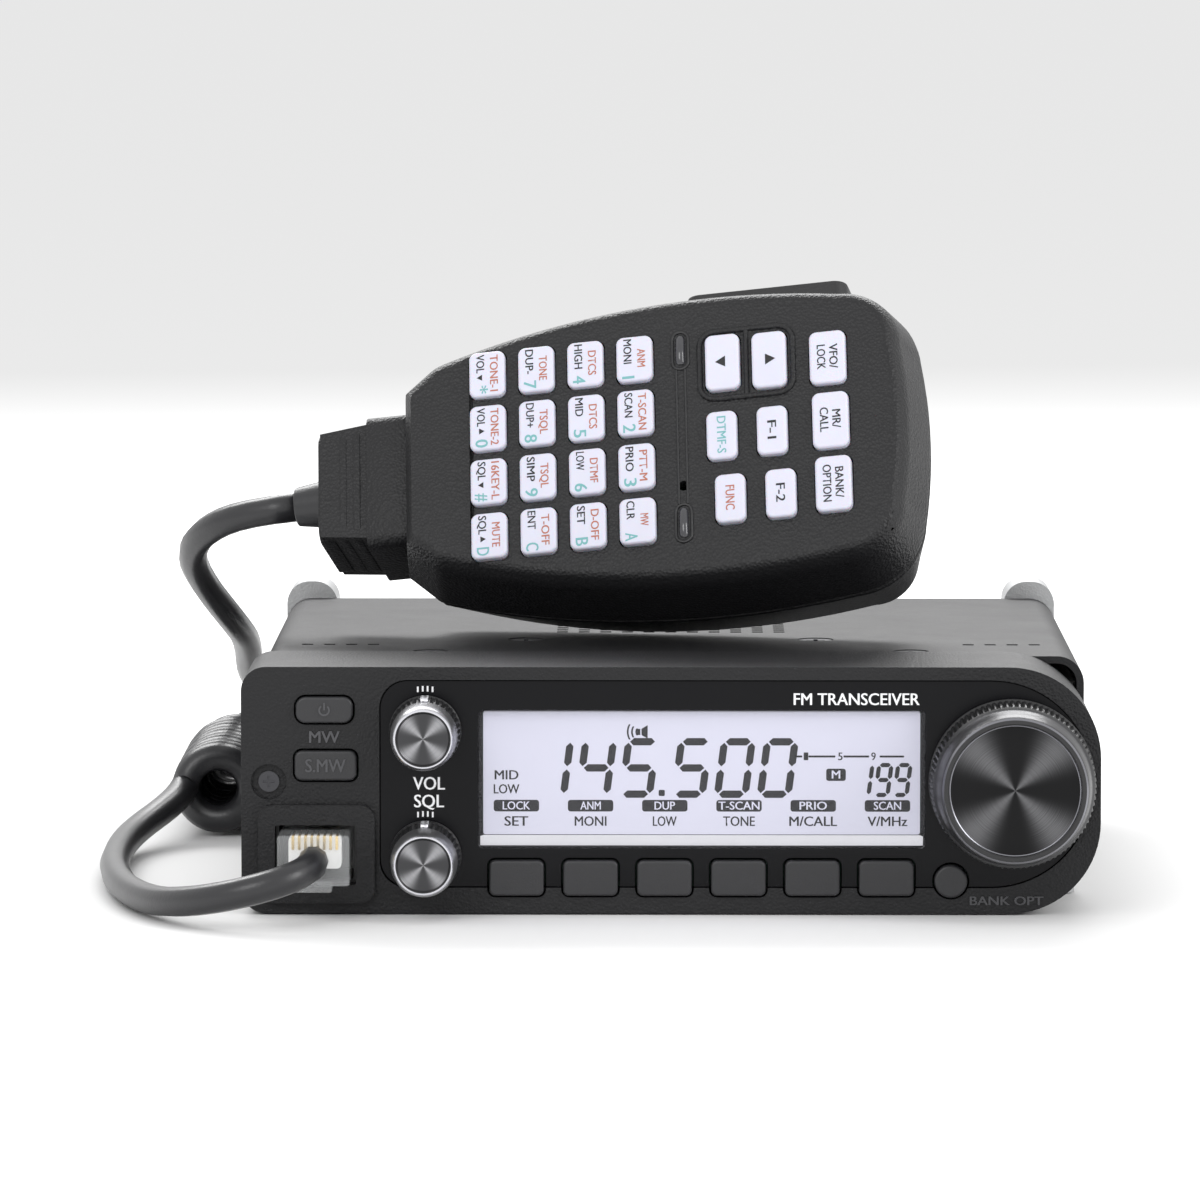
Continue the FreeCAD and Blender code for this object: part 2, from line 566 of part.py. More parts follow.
def front_board():
    """The board behind the panel, cut out for the jack, with the shafts' bushes on it."""
    body = new_body("front_board")
    front_slab(body, f"{BOARD_FRONT} + board_thick", "board_thick", "face_board_width",
               "face_board_height", "panel_corner / 2", "panel_round - panel_wall",
               ("0", "panel_height / 2"))
    front_hole(body, f"{BOARD_FRONT} - 1", "board_thick + 2",
               "jack_width + 2 * jack_wall + 1", "jack_height + 2 * jack_wall + 1", "0.5",
               at=("jack_x", "jack_z"))
    dial_end = f"{PLATE_FRONT} - control_gap - dial_tall + 3"
    for x, z, radius, tip in [("dial_x", "dial_z", "shaft_radius", dial_end)] + [
            ("knob_x", height, "pot_radius", f"{PLATE_FRONT} - control_gap - knob_tall + 2.8")
            for height in KNOBS.values()]:
        base = sketch_on(body, "XZ_Plane", f"-({BOARD_FRONT})", (x, z))
        circles(base, f"{radius} + 1.5")
        pad(body, base, f"({BOARD_FRONT}) - ({PLATE_FRONT} + plate_thick / 2)")
        shaft = sketch_on(body, "XZ_Plane", f"-({BOARD_FRONT})", (x, z))
        circles(shaft, radius)
        pad(body, shaft, f"({BOARD_FRONT}) - ({tip})")
    return body


def mic_jack():
    """The eight-way jack's housing, open to the front."""
    body = new_body("mic_jack")
    back = f"{WALL_BACK} + fit_gap + jack_deep + jack_wall"
    front_slab(body, back, "jack_deep + jack_wall", "jack_width + 2 * jack_wall",
               "jack_height + 2 * jack_wall", "0.5", at=("jack_x", "jack_z"))
    front_hole(body, f"{WALL_BACK} + fit_gap - 1", "jack_deep + 1", "jack_width",
               "jack_height", "0.3", at=("jack_x", "jack_z"))
    return body


def microphone_plug():
    """The modular plug, its latch below it, with the cord's end in its mouth."""
    body = new_body("microphone_plug")
    front_slab(body, f"{FRONT} + plug_inside", "plug_inside + plug_outside", "plug_width",
               "plug_height", "0.5", at=("jack_x", "jack_z"))
    latch = sketch_on(body, "XZ_Plane", f"-({FRONT} - 1.8)",
                      ("jack_x", "jack_z - plug_height / 2 - latch_thick / 2 + 0.1"))
    rounded(latch, "latch_width", "latch_thick", "latch_thick / 4")
    pad(body, latch, "latch_long - 1.8")
    return body


# ---- inside the case ----

UNDER_SPEAKER = ("cover_height - cover_wall - speaker_gap - speaker_tall - 3"
                 " - main_board_z - board_thick - speaker_can_gap")


def main_board():
    """The main board, on its heat spreader and with the cans that screen it."""
    body = new_body("main_board", "0", "board_y", "main_board_z")
    sketch = sketch_on(body, "XY_Plane")
    rounded(sketch, "main_board_width", "board_depth", "2")
    pad(body, sketch, "board_thick")
    posts = sketch_on(body, "XY_Plane", "board_thick")
    circles(posts, "post_room", [(x, f"{y} - board_y") for x, y in COVER_SCREWS[2:]])
    pocket(body, posts, "board_thick + 1")
    for x, side, width, tall in (("-44", "-", "24", "7"), ("44", "-", "24", "6"),
                                 ("0", "-", "34", f"{UNDER_SPEAKER} - 1"),
                                 ("-24", "", "60", UNDER_SPEAKER), ("34", "", "40", "5")):
        can = sketch_on(body, "XY_Plane", "board_thick", (x, f"{side}board_depth / 4"))
        rounded(can, width, "board_depth / 2 - 2 * can_gap", "1")
        pad(body, can, tall)
    feet = sketch_on(body, "XY_Plane")
    circles(feet, "3", [(f"{a}(main_board_width / 2 - 6)", f"{b}(board_depth / 2 - 6)")
                        for a in ("", "-") for b in ("", "-")])
    pad(body, feet, "main_board_z - floor_wall", True)
    return body


def speaker():
    """The speaker: a magnet below a shallow frame, just under the perforations."""
    body = new_body("speaker", "0", GRILLE_Y, "cover_height - cover_wall - speaker_gap")
    sketch = sketch_on(body, "XZ_Plane")
    outline(sketch, [("0", "-speaker_tall - 3"), ("speaker_radius / 2", "-speaker_tall - 3"),
                     ("speaker_radius / 2", "-speaker_tall + 1"),
                     ("speaker_radius - 2", "-3"), ("speaker_radius", "-2"),
                     ("speaker_radius", "0"), ("speaker_radius - 1.5", "0"),
                     ("speaker_radius / 3", "-3"), ("0", "-2.4")])
    revolve(body, sketch)
    return body


# ---- the rear connections ----

def antenna_socket():
    """The coaxial socket: a flange against the rear wall and a hollow threaded barrel."""
    return turned("antenna_socket", "antenna_x", "antenna_z", f"{REAR} + fit_gap", [
        ("antenna_bore", "sink_depth / 2"), ("antenna_radius - 2", "sink_depth / 2"),
        ("antenna_radius - 2", "0"), ("antenna_flange", "0"), ("antenna_flange", "-flange_thick"),
        ("antenna_radius", "-flange_thick"), ("antenna_radius", "-antenna_long"),
        ("antenna_bore + 3.2", "-antenna_long"), ("antenna_bore + 3.2", "-flange_thick"),
        ("antenna_bore", "-flange_thick")])


def power_socket():
    body = new_body("power_socket")
    front_slab(body, f"{REAR} + rear_proud", "sink_depth + rear_proud", "power_socket_width",
               "power_socket_height", "1", at=("power_socket_x", "power_socket_z"))
    sketch = sketch_on(body, "XZ_Plane", f"-({REAR} + rear_proud)",
                       ("power_socket_x", "power_socket_z"))
    rounded(sketch, "power_socket_width - 2 * socket_wall",
            "power_socket_height - 2 * socket_wall", "0.6")
    pocket(body, sketch, "socket_deep", True)
    return body


def phone_socket():
    """The external speaker's jack, a ring with its bore open to the rear."""
    return turned("phone_socket", "phone_x", "phone_z", f"{REAR}", [
        ("phone_bore", "8"), ("phone_radius", "8"), ("phone_radius", "-rear_proud"),
        ("phone_bore", "-rear_proud")])


# ---- the hand microphone ----

def mic_placement():
    """Where the microphone leans on the cover, and how it is turned."""
    turn = FreeCAD.Rotation(value("mic_yaw"), -value("mic_roll"), 90 - value("mic_lean"))
    place = [value(e) for e in ("mic_x", "mic_y", "cover_height + mic_rest")]
    return FreeCAD.Placement(FreeCAD.Vector(*place), turn)


def mic_body(label, u="0", v="0", w="0"):
    """A sub-part of the microphone, placed at u, v, w along the microphone's own axes."""
    body = doc.addObject("PartDesign::Body", label)
    body.Label = label
    body.Placement = mic_placement() * FreeCAD.Placement(
        FreeCAD.Vector(value(u), value(v), value(w)), FreeCAD.Rotation())
    return body


def mic_section(body, lift, inset):
    """The microphone's outline at a height, drawn in by inset: waist, throat, sides, end."""
    sketch = sketch_on(body, "XY_Plane", lift)
    side = [
        (f"mic_shoulder + ({inset})", f"mic_shoulder_half - ({inset}) / 2"),
        (f"mic_throat + ({inset}) * 0.7", f"mic_throat_half - ({inset})",
         "mic_widest", f"mic_half - ({inset})"),
        (f"mic_length - mic_corner_long", f"mic_far_half - ({inset})",
         f"mic_length - mic_corner_long * 0.25 - ({inset}) * 0.6",
         f"mic_end_half + (mic_far_half - mic_end_half) * 0.62 - ({inset}) * 0.7"),
        (f"mic_length - ({inset})", f"mic_end_half - ({inset}) / 3",
         f"mic_length + mic_crown - ({inset})", "0"),
    ]
    mirrored = [
        (f"mic_length - ({inset})", f"-(mic_end_half - ({inset}) / 3)",
         f"mic_length - mic_corner_long * 0.25 - ({inset}) * 0.6",
         f"-(mic_end_half + (mic_far_half - mic_end_half) * 0.62 - ({inset}) * 0.7)"),
        (f"mic_length - mic_corner_long", f"-(mic_far_half - ({inset}))",
         "mic_widest", f"-(mic_half - ({inset}))"),
        (f"mic_throat + ({inset}) * 0.7", f"-(mic_throat_half - ({inset}))"),
        (f"mic_shoulder + ({inset})", f"-(mic_shoulder_half - ({inset}) / 2)"),
    ]
    outline(sketch, side + mirrored)
    return sketch


def mic_shell(label, side, depth, inset):
    """Half of the case: side is '' for the keypad's half and '-' for the rear half."""
    body = mic_body(label)
    loft(body, "AdditiveLoft", [
        mic_section(body, "0", "fit_gap / 2"),
        mic_section(body, f"{side}({depth} - mic_bevel)", f"{inset} * 0.6"),
        mic_section(body, f"{side}{depth}", inset)])
    loft(body, "SubtractiveLoft", [
        mic_section(body, "0", "mic_wall"),
        mic_section(body, f"{side}({depth} - mic_wall)", f"{inset} + mic_wall / 2")])
    neck = sketch_on(body, "XY_Plane")
    outline(neck, [("0", "neck_half"), ("mic_shoulder + 3", "neck_flare"),
                   ("mic_shoulder + 3", "-neck_flare"), ("0", "-neck_half")])
    pad(body, neck, "neck_rear" if side else "neck_front", bool(side))
    bore = sketch_on(body, "YZ_Plane", "-1")
    circles(bore, "boot_radius - 0.6 + fit_gap")
    pocket(body, bore, "mic_shoulder + 4 + mic_wall", True)
    bar = sketch_on(body, "XZ_Plane", "-ptt_inner", ("ptt_u", "0"))
    rounded(bar, "ptt_long + 2 * ptt_gap", "ptt_high + 2 * ptt_gap", "ptt_round + ptt_gap")
    pocket(body, bar, "mic_half")
    return body


PAD_KEYS = {
    f"mic_key_{column + 1}{row}": (f"pad_u + {column} * pad_pitch", f"{1.5 - i} * pad_rise",
                                   "pad_width", "pad_height", "pad_corner")
    for column in range(4) for i, row in enumerate("abcd")
}
OTHER_KEYS = {
    "mic_down_key": ("71.2", "12.6", "5.9", "10.2", "pad_corner"),
    "mic_up_key": ("79.2", "12.2", "5.9", "10.2", "pad_corner"),
    "mic_dtmf_key": ("70.8", "-0.8", "5.2", "8.8", "pad_corner"),
    "mic_function_key": ("72", "-12.4", "5.2", "8.8", "pad_corner"),
    "mic_f1_key": ("79.4", "-0.8", "5.2", "8.8", "pad_corner"),
    "mic_f2_key": ("80.6", "-12.4", "5.2", "8.8", "pad_corner"),
    "mic_vfo_key": ("89.2", "11.5", "6.2", "9.6", "pad_corner"),
    "mic_call_key": ("89.4", "0", "6.2", "10.2", "pad_corner"),
    "mic_bank_key": ("89.6", "-11.6", "6.2", "10", "pad_corner"),
}
MIC_KEYS = {**PAD_KEYS, **OTHER_KEYS}


def mic_front_case():
    """The keypad's half of the case, with a well for each key and the sound hole."""
    body = mic_shell("mic_front_case", "", "mic_front", "mic_front_inset")
    for u, v, width, height, corner in MIC_KEYS.values():
        well = sketch_on(body, "XY_Plane", "mic_front + 1", (u, v))
        rounded(well, f"{width} + 2 * mic_key_gap", f"{height} + 2 * mic_key_gap",
                f"{corner} + mic_key_gap")
        pocket(body, well, "well_depth + 1")
    hole = sketch_on(body, "XY_Plane", "mic_front + 1")
    circles(hole, "0.9", [("capsule_u", "capsule_v")])
    pocket(body, hole, "mic_wall + 2")
    return body


def mic_rear_case():
    return mic_shell("mic_rear_case", "-", "mic_rear", "mic_rear_inset")


def mic_key(label):
    """A key: its cap stands proud of the keypad and its foot stays clear of the board."""
    u, v, width, height, corner = MIC_KEYS[label]
    body = mic_body(label, u, v, "mic_front - mic_key_low")
    sketch = sketch_on(body, "XY_Plane")
    rounded(sketch, width, height, corner)
    pad(body, sketch, "mic_key_low + mic_key_proud")
    return body


def ptt_bar():
    """The push-to-talk bar, which slides into the case's side."""
    body = mic_body("ptt_bar", "ptt_u")
    sketch = sketch_on(body, "XZ_Plane", "-(ptt_inner + ptt_travel + ptt_gap)")
    rounded(sketch, "ptt_long", "ptt_high", "ptt_round")
    pad(body, sketch, "ptt_outer - ptt_inner - ptt_travel - ptt_gap", True)
    return body


def mic_circuit_board():
    body = mic_body("mic_circuit_board", "(mic_board_start + mic_board_end) / 2", "0",
                    "mic_board_top - board_thick")
    sketch = sketch_on(body, "XY_Plane")
    rounded(sketch, "mic_board_end - mic_board_start", "2 * mic_board_half", "2")
    pad(body, sketch, "board_thick")
    capsule = sketch_on(body, "XY_Plane", "0",
                        ("capsule_u - (mic_board_start + mic_board_end) / 2", "capsule_v"))
    circles(capsule, "capsule_radius")
    pad(body, capsule, "capsule_tall", True)
    return body


def mic_cord_boot():
    """The strain relief: a tapered sleeve, with a stem held in the neck's bore."""
    body = mic_body("mic_cord_boot")
    sketch = sketch_on(body, "XY_Plane")
    outline(sketch, [("-boot_out", "0"), ("-boot_out", "boot_tip"), ("-fit_gap", "boot_radius"),
                     ("-fit_gap", "boot_radius - 0.6"), ("boot_in", "boot_radius - 0.6"),
                     ("boot_in", "0")])
    revolve(body, sketch, "H_Axis")
    return body


def mic_hanger_stud():
    """The mushroom-shaped stud that hooks into a hanger."""
    body = mic_body("mic_hanger_stud", "stud_u", "0", "-mic_rear")
    neck = sketch_on(body, "XY_Plane")
    circles(neck, "stud_neck")
    pad(body, neck, "stud_neck_long", True)
    head = sketch_on(body, "XY_Plane", "-stud_neck_long")
    circles(head, "stud_radius")
    pad(body, head, "stud_head", True)
    return body


# ---- the cord ----

FRONT_RUN = [
    (-57.8, -88, 9.4), (-61.5, -93.2, 8), (-68, -94.6, 6.2), (-75.5, -91.2, 4.4),
    (-82.5, -82.5, 3), (-87.6, -69.5, 2.6), (-91.4, -52, 2.6), (-93.8, -30, 2.6),
    (-94.2, -6, 2.8), (-92.4, 10, 4), (-87.5, 22.5, 6.6),
]
REAR_RUN = [
    (-60, 135.5, 10.5), (-73, 117, 15), (-77, 95, 22.5), (-76, 72, 31), (-77.5, 50, 36.5),
    (-81.5, 31, 44.5), (-83.5, 17.5, 51), (-80.5, 7.5, 56),
]


def cord_ends():
    """Where the cord leaves the plug, meets the coil twice, and enters the boot."""
    plug = FreeCAD.Vector(value("jack_x"), value(f"{FRONT} - plug_outside"), value("jack_z"))
    first = FreeCAD.Vector(value("coil_x"), value("coil_start"), value("coil_z"))
    last = FreeCAD.Vector(value("coil_end_x"), value("coil_back + 2 * coil_return"),
                          value("coil_z"))
    boot = mic_placement().multVec(FreeCAD.Vector(-value("boot_out"), 0, 0))
    ahead = mic_placement().multVec(FreeCAD.Vector(-value("boot_out") - 9.5, 0, 0))
    return plug, first, last, boot, ahead


def cord_path(label, points):
    """Straight runs between the points, joined by tangent arcs as large as they allow."""
    edges = []
    start = points[0]
    radii = []
    for before, corner, after in zip(points, points[1:], points[2:]):
        into = (corner - before).normalize()
        out = (after - corner).normalize()
        half = into.getAngle(out) / 2
        cut = 0.45 * min((corner - before).Length, (after - corner).Length)
        radii.append(cut / math.tan(half))
        begin = corner - into * cut
        end = corner + out * cut
        inward = (out - into).normalize()
        middle = corner + inward * (radii[-1] / math.cos(half) - radii[-1])
        edges.append(Part.LineSegment(start, begin).toShape())
        edges.append(Part.Arc(begin, middle, end).toShape())
        start = end
    edges.append(Part.LineSegment(start, points[-1]).toShape())
    print(label, "arc radii", [round(r, 1) for r in radii])
    return Part.Wire(edges)


def tube(label, path, radius):
    """A tube of a round section along a path, as a plain feature."""
    first = path.OrderedEdges[0]
    ahead = first.tangentAt(first.FirstParameter)
    circle = Part.makeCircle(radius, first.valueAt(first.FirstParameter), ahead)
    solid = path.makePipeShell([Part.Wire(circle)], True, False)
    expected = math.pi * radius ** 2 * path.Length
    print(label, "volume over section times length", round(solid.Volume / expected, 4))
    feature = doc.addObject("Part::Feature", label)
    feature.Label = label
    feature.Shape = solid
    feature.Placement = FreeCAD.Placement()
    return feature


def cord_front_run():
    plug, first, _, _, _ = cord_ends()
    points = [plug] + [FreeCAD.Vector(*p) for p in FRONT_RUN] + [first]
    return tube("cord_front_run", cord_path("cord_front_run", points), value("cord_radius"))


def cord_rear_run():
    _, _, last, boot, ahead = cord_ends()
    points = [last] + [FreeCAD.Vector(*p) for p in REAR_RUN] + [ahead, boot]
    return tube("cord_rear_run", cord_path("cord_rear_run", points), value("cord_radius"))


def cord_coil():
    """The curly stretch's outer shape: back beside the case, and a bend behind it."""
    _, first, last, _, _ = cord_ends()
    left = first.x
    height = first.z
    corner = value("coil_corner")
    back = value("coil_back")
    turn = value("coil_turn_x")
    sharp = corner * (1 - math.sqrt(0.5))
    straight = FreeCAD.Vector(left, back - corner, height)
    rounding = FreeCAD.Vector(left + sharp, back - sharp, height)
    along = FreeCAD.Vector(left + corner, back, height)
    turning = FreeCAD.Vector(turn, back, height)
    far = FreeCAD.Vector(turn + value("coil_return"), back + value("coil_return"), height)
    returning = FreeCAD.Vector(turn, last.y, height)
    path = Part.Wire([
        Part.LineSegment(first, straight).toShape(),
        Part.Arc(straight, rounding, along).toShape(),
        Part.LineSegment(along, turning).toShape(),
        Part.Arc(turning, far, returning).toShape(),
        Part.LineSegment(returning, last).toShape()])
    return tube("cord_coil", path, value("coil_radius"))


# ---- the whole transceiver ----

def grouped(label, bodies):
    """Several separate solids kept together as one node."""
    group = doc.addObject("Part::Compound", label)
    group.Label = label
    group.Links = bodies
    return group


def build():
    case = chassis()
    chassis_openings(case)
    parts = [case, top_cover(), grouped("case_screws", screws()), front_panel(), face_plate(),
             display_glass(), lcd_panel(), front_board(), mic_jack(), microphone_plug(),
             main_board(), speaker(), antenna_socket(),
             grouped("rear_sockets", [power_socket(), phone_socket()]), main_dial()]
    parts += [small_knob(label, height) for label, height in KNOBS.items()]
    parts += [
        panel_key("power_key", "power_x", "power_z", "power_width", "power_height", "power_corner"),
        panel_key("memory_key", "memory_x", "memory_z", "memory_width", "memory_height",
                  "memory_corner"), bank_key()]
    parts += [panel_key(f"function_key_{i}", x, "function_z", "function_width",
                        "function_height", "function_corner")
              for i, x in enumerate(FUNCTION_KEYS, 1)]
    parts += [mic_front_case(), mic_rear_case(), mic_circuit_board(), ptt_bar(),
              mic_cord_boot(), mic_hanger_stud()]
    parts += [mic_key(label) for label in MIC_KEYS]
    parts += [cord_front_run(), cord_coil(), cord_rear_run()]
    return parts


def checked(parts):
    """Stops on any failed object or bad shape, before anything is written."""
    doc.recompute()
    failed = [o.Name for o in doc.Objects if {"Invalid", "Error"} & set(o.State)]
    if failed:
        raise RuntimeError("failed to compute: " + ", ".join(failed))
    for part in parts:
        if part.Shape.isNull() or not part.Shape.isValid() or part.Shape.Volume <= 0:
            raise RuntimeError("bad shape: " + part.Label)


finished = build()
checked(finished)
os.makedirs("parts", exist_ok=True)
for part in finished:
    part.Shape.exportStep(f"parts/{part.Label}.step")
print(len(finished), "sub-parts written")
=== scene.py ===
# %% [markdown]
# # A mobile two-way radio with its hand microphone
# The radio stands on a floor, its microphone leans on the lid, and a curly cord joins
# them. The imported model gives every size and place. This lesson adds what the eye reads:
# rounded edges, grain, knurling, lettering, a lit display and the cord itself.

# %% Load the frame
import json
import math

import bmesh
import bpy
from mathutils import Matrix, Vector

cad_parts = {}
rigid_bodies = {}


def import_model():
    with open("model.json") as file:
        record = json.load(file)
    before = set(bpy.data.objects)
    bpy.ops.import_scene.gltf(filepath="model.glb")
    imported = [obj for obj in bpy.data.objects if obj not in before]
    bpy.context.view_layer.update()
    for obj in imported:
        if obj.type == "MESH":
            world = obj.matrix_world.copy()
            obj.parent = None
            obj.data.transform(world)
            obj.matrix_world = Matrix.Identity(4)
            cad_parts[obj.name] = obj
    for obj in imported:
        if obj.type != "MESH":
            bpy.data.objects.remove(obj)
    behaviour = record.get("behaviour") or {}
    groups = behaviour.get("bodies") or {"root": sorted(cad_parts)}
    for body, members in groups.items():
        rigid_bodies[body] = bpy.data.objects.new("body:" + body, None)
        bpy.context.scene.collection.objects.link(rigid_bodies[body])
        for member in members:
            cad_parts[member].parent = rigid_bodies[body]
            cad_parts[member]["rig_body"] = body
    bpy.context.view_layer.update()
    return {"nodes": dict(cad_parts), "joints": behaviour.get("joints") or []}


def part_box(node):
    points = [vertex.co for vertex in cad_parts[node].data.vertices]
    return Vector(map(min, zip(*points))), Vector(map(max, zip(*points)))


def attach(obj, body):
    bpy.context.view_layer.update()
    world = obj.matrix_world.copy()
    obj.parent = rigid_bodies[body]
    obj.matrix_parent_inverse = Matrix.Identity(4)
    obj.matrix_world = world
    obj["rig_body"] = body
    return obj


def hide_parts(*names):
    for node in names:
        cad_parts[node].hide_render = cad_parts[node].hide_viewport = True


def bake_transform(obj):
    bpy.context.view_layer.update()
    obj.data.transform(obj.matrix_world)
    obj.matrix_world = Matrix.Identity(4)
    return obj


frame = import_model()
MM = 0.001


def corners(node):
    """A node's lowest and highest corners, as vectors."""
    low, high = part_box(node)
    return Vector(low), Vector(high)


def middle(node):
    low, high = corners(node)
    return (low + high) / 2


FACE_Y = corners("face_plate")[0].y
print("the radio's face is at y =", round(FACE_Y / MM, 2), "mm")

# %% [markdown]
# ## Camera
# A product view from a long way off keeps the panel's edges nearly parallel, so the lens
# is long. The camera stands a little above the case and looks slightly down, which shows
# the lid as a narrow band.

# %% Set the camera
camera_data = bpy.data.cameras.new("camera")
camera_data.lens = 249
camera_data.sensor_width = 36
camera = bpy.data.objects.new("camera", camera_data)
bpy.context.scene.collection.objects.link(camera)
camera.location = (-1 * MM, -1416 * MM, 172.4 * MM)
camera.rotation_euler = (math.radians(90 - 5.15), 0, math.radians(0.45))
camera_data.clip_end = 20
bpy.context.scene.camera = camera
print("camera at", [round(c, 3) for c in camera.location])

# %% [markdown]
# ## The cord's route
# The cord is one wire from the plug to the microphone. Its two loose ends are smooth
# curves through a few chosen points, and the curly stretch is a helix wound round a path
# that runs back beside the case, bends behind it and doubles back. A helix has twelve
# points to a turn, which is enough for a smooth spline to stay round.

# %% List the loose ends
FRONT_RUN = [
    (-57.9, -82, 9.7), (-57.8, -88, 9.4), (-61.5, -93.2, 8), (-68, -94.6, 6.2),
    (-75.5, -91.2, 4.4), (-82.5, -82.5, 3), (-87.6, -69.5, 2.6), (-91.4, -52, 2.6),
    (-93.8, -30, 2.6), (-94.2, -6, 2.8), (-92.4, 10, 4), (-87.5, 22.5, 6.6),
]
REAR_RUN = [
    (-60, 135.5, 10.5), (-73, 117, 15), (-77, 95, 22.5), (-76, 72, 31), (-77.5, 50, 36.5),
    (-81.5, 31, 44.5), (-83.5, 17.5, 51), (-80.5, 7.5, 56),
]
WIRE = 5 * MM
COIL_START = Vector((-79.5, 32, 8.5))
TURN_RADIUS = 5.75
TURN_PITCH = 5.3
COIL_PATH = [(43, 0, 0), (26 * math.pi / 2, -90, 26), (33.5, 0, 0), (20 * math.pi, 180, 20), (18, 0, 0)]
TURN_POINTS = 12

# %% Read the microphone's own axes
# A key moves against the keypad's normal, and a row of keys gives the long direction.
press = next(j for j in frame["joints"] if j["name"] == "mic_key_1a_press")
MIC_OUT = -Vector(press["axis"]).normalized()
along = middle("mic_key_4a") - middle("mic_key_1a")
MIC_LONG = (along - along.dot(MIC_OUT) * MIC_OUT).normalized()
MIC_SIDE = MIC_OUT.cross(MIC_LONG)
BOOT_OUT = 6
BOOT_LEAD = 9.5
FIRST_KEY = Vector((30.6, 14.85, 11.85))
KEY_MIDDLE = middle("mic_key_1a")
MIC_ORIGIN = KEY_MIDDLE - (MIC_LONG * FIRST_KEY.x + MIC_SIDE * FIRST_KEY.y + MIC_OUT * FIRST_KEY.z) * MM
print("microphone's axes", [round(c, 3) for c in (*MIC_LONG, *MIC_OUT)])


def on_mic(u, v, w):
    """A point given along, across and out of the microphone, in millimetres."""
    return MIC_ORIGIN + (MIC_LONG * u + MIC_SIDE * v + MIC_OUT * w) * MM


# %% Wind the helix
def helix():
    """The curly stretch: points round a path of straights and bends."""
    points = []
    place = COIL_START.copy()
    heading = math.radians(90)
    angle = 0
    for length, turn, radius in COIL_PATH:
        pitch = TURN_PITCH * radius / (radius - TURN_RADIUS) if radius else TURN_PITCH
        steps = round(length / pitch * TURN_POINTS)
        for _ in range(steps):
            left = Vector((-math.sin(heading), math.cos(heading), 0))
            swing = left * math.cos(angle) + Vector((0, 0, 1)) * math.sin(angle)
            points.append(place + swing * TURN_RADIUS / math.cos(math.pi / TURN_POINTS) ** 0.5)
            heading += math.radians(turn) / steps / 2
            place += Vector((math.cos(heading), math.sin(heading), 0)) * length / steps
            heading += math.radians(turn) / steps / 2
            angle += 2 * math.pi / TURN_POINTS
    return points


boot_end = on_mic(-BOOT_OUT, 0, 0) / MM
boot_lead = on_mic(-BOOT_OUT - BOOT_LEAD, 0, 0) / MM
turns = helix()
route = [Vector(p) for p in FRONT_RUN] + turns + [Vector(p) for p in REAR_RUN] + [boot_lead, boot_end]
print(len(turns) // TURN_POINTS, "turns,", len(route), "points in the route")

# %% Make the spline and sweep the wire
def spline(name, points):
    """A NURBS curve through a route given in millimetres."""
    data = bpy.data.curves.new(name, "CURVE")
    data.dimensions = "3D"
    data.resolution_u = 4
    line = data.splines.new("NURBS")
    line.points.add(len(points) - 1)
    for knot, point in zip(line.points, points):
        knot.co = (*(point * MM), 1)
    line.order_u = 3
    line.use_endpoint_u = True
    made = bpy.data.objects.new(name, data)
    bpy.context.scene.collection.objects.link(made)
    return made


def only(*objects):
    """Selects just these objects, the first of them active."""
    for other in bpy.context.view_layer.objects:
        other.select_set(other in objects)
    bpy.context.view_layer.objects.active = objects[0]


def swept(name, points, radius, ring=False):
    """A round tube along points, capped at its ends or closed to a ring."""
    data = bpy.data.curves.new(name, "CURVE")
    data.dimensions = "3D"
    data.bevel_depth = radius
    data.bevel_resolution = 3
    data.use_fill_caps = True
    line = data.splines.new("POLY")
    line.points.add(len(points) - 1)
    for knot, point in zip(line.points, points):
        knot.co = (*point, 1)
    line.use_cyclic_u = ring
    made = bpy.data.objects.new(name, data)
    bpy.context.scene.collection.objects.link(made)
    only(made)
    bpy.ops.object.convert(target="MESH")
    made = bpy.context.object
    only(made)
    bpy.ops.object.mode_set(mode="EDIT")
    bpy.ops.mesh.select_all(action="SELECT")
    bpy.ops.mesh.remove_doubles(threshold=0.005 * MM)
    bpy.ops.mesh.normals_make_consistent(inside=False)
    bpy.ops.object.mode_set(mode="OBJECT")
    bpy.ops.object.shade_smooth()
    return made


guide = spline("route", route)
line = bpy.data.meshes.new_from_object(guide)
centres = [v.co.copy() for v in line.vertices]
bpy.data.objects.remove(guide)
cord = swept("cord", centres, WIRE / 2)
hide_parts("cord_front_run", "cord_coil", "cord_rear_run")
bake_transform(cord)

# %% [markdown]
# ## Floor and light
# A white sweep and large soft lamps show dark plastic best: the lamps' reflections draw
# the edges, and the sweep fills the shadows. The lamp above and behind gives the lid and
# the knobs their bright rims.

# %% Lay the floor and hang the lamps
bpy.ops.object.select_all(action="DESELECT")
bpy.ops.mesh.primitive_plane_add(size=60, location=(0, 0, -0.2 * MM))
floor = bpy.context.object
floor.name = "floor"

world = bpy.data.worlds.new("studio")
bpy.context.scene.world = world
world.use_nodes = True
world.node_tree.nodes["Background"].inputs["Color"].default_value = (1, 1, 1, 1)
world.node_tree.nodes["Background"].inputs["Strength"].default_value = 1.0
bpy.context.scene.view_settings.view_transform = "Standard"


def lamp(name, place, target, width, height, watts):
    """A soft rectangular lamp that faces a point."""
    data = bpy.data.lights.new(name, "AREA")
    data.shape = "RECTANGLE"
    data.size = width
    data.size_y = height
    data.energy = watts
    made = bpy.data.objects.new(name, data)
    bpy.context.scene.collection.objects.link(made)
    made.location = place
    made.rotation_euler = (Vector(target) - Vector(place)).to_track_quat("-Z", "Y").to_euler()
    return made


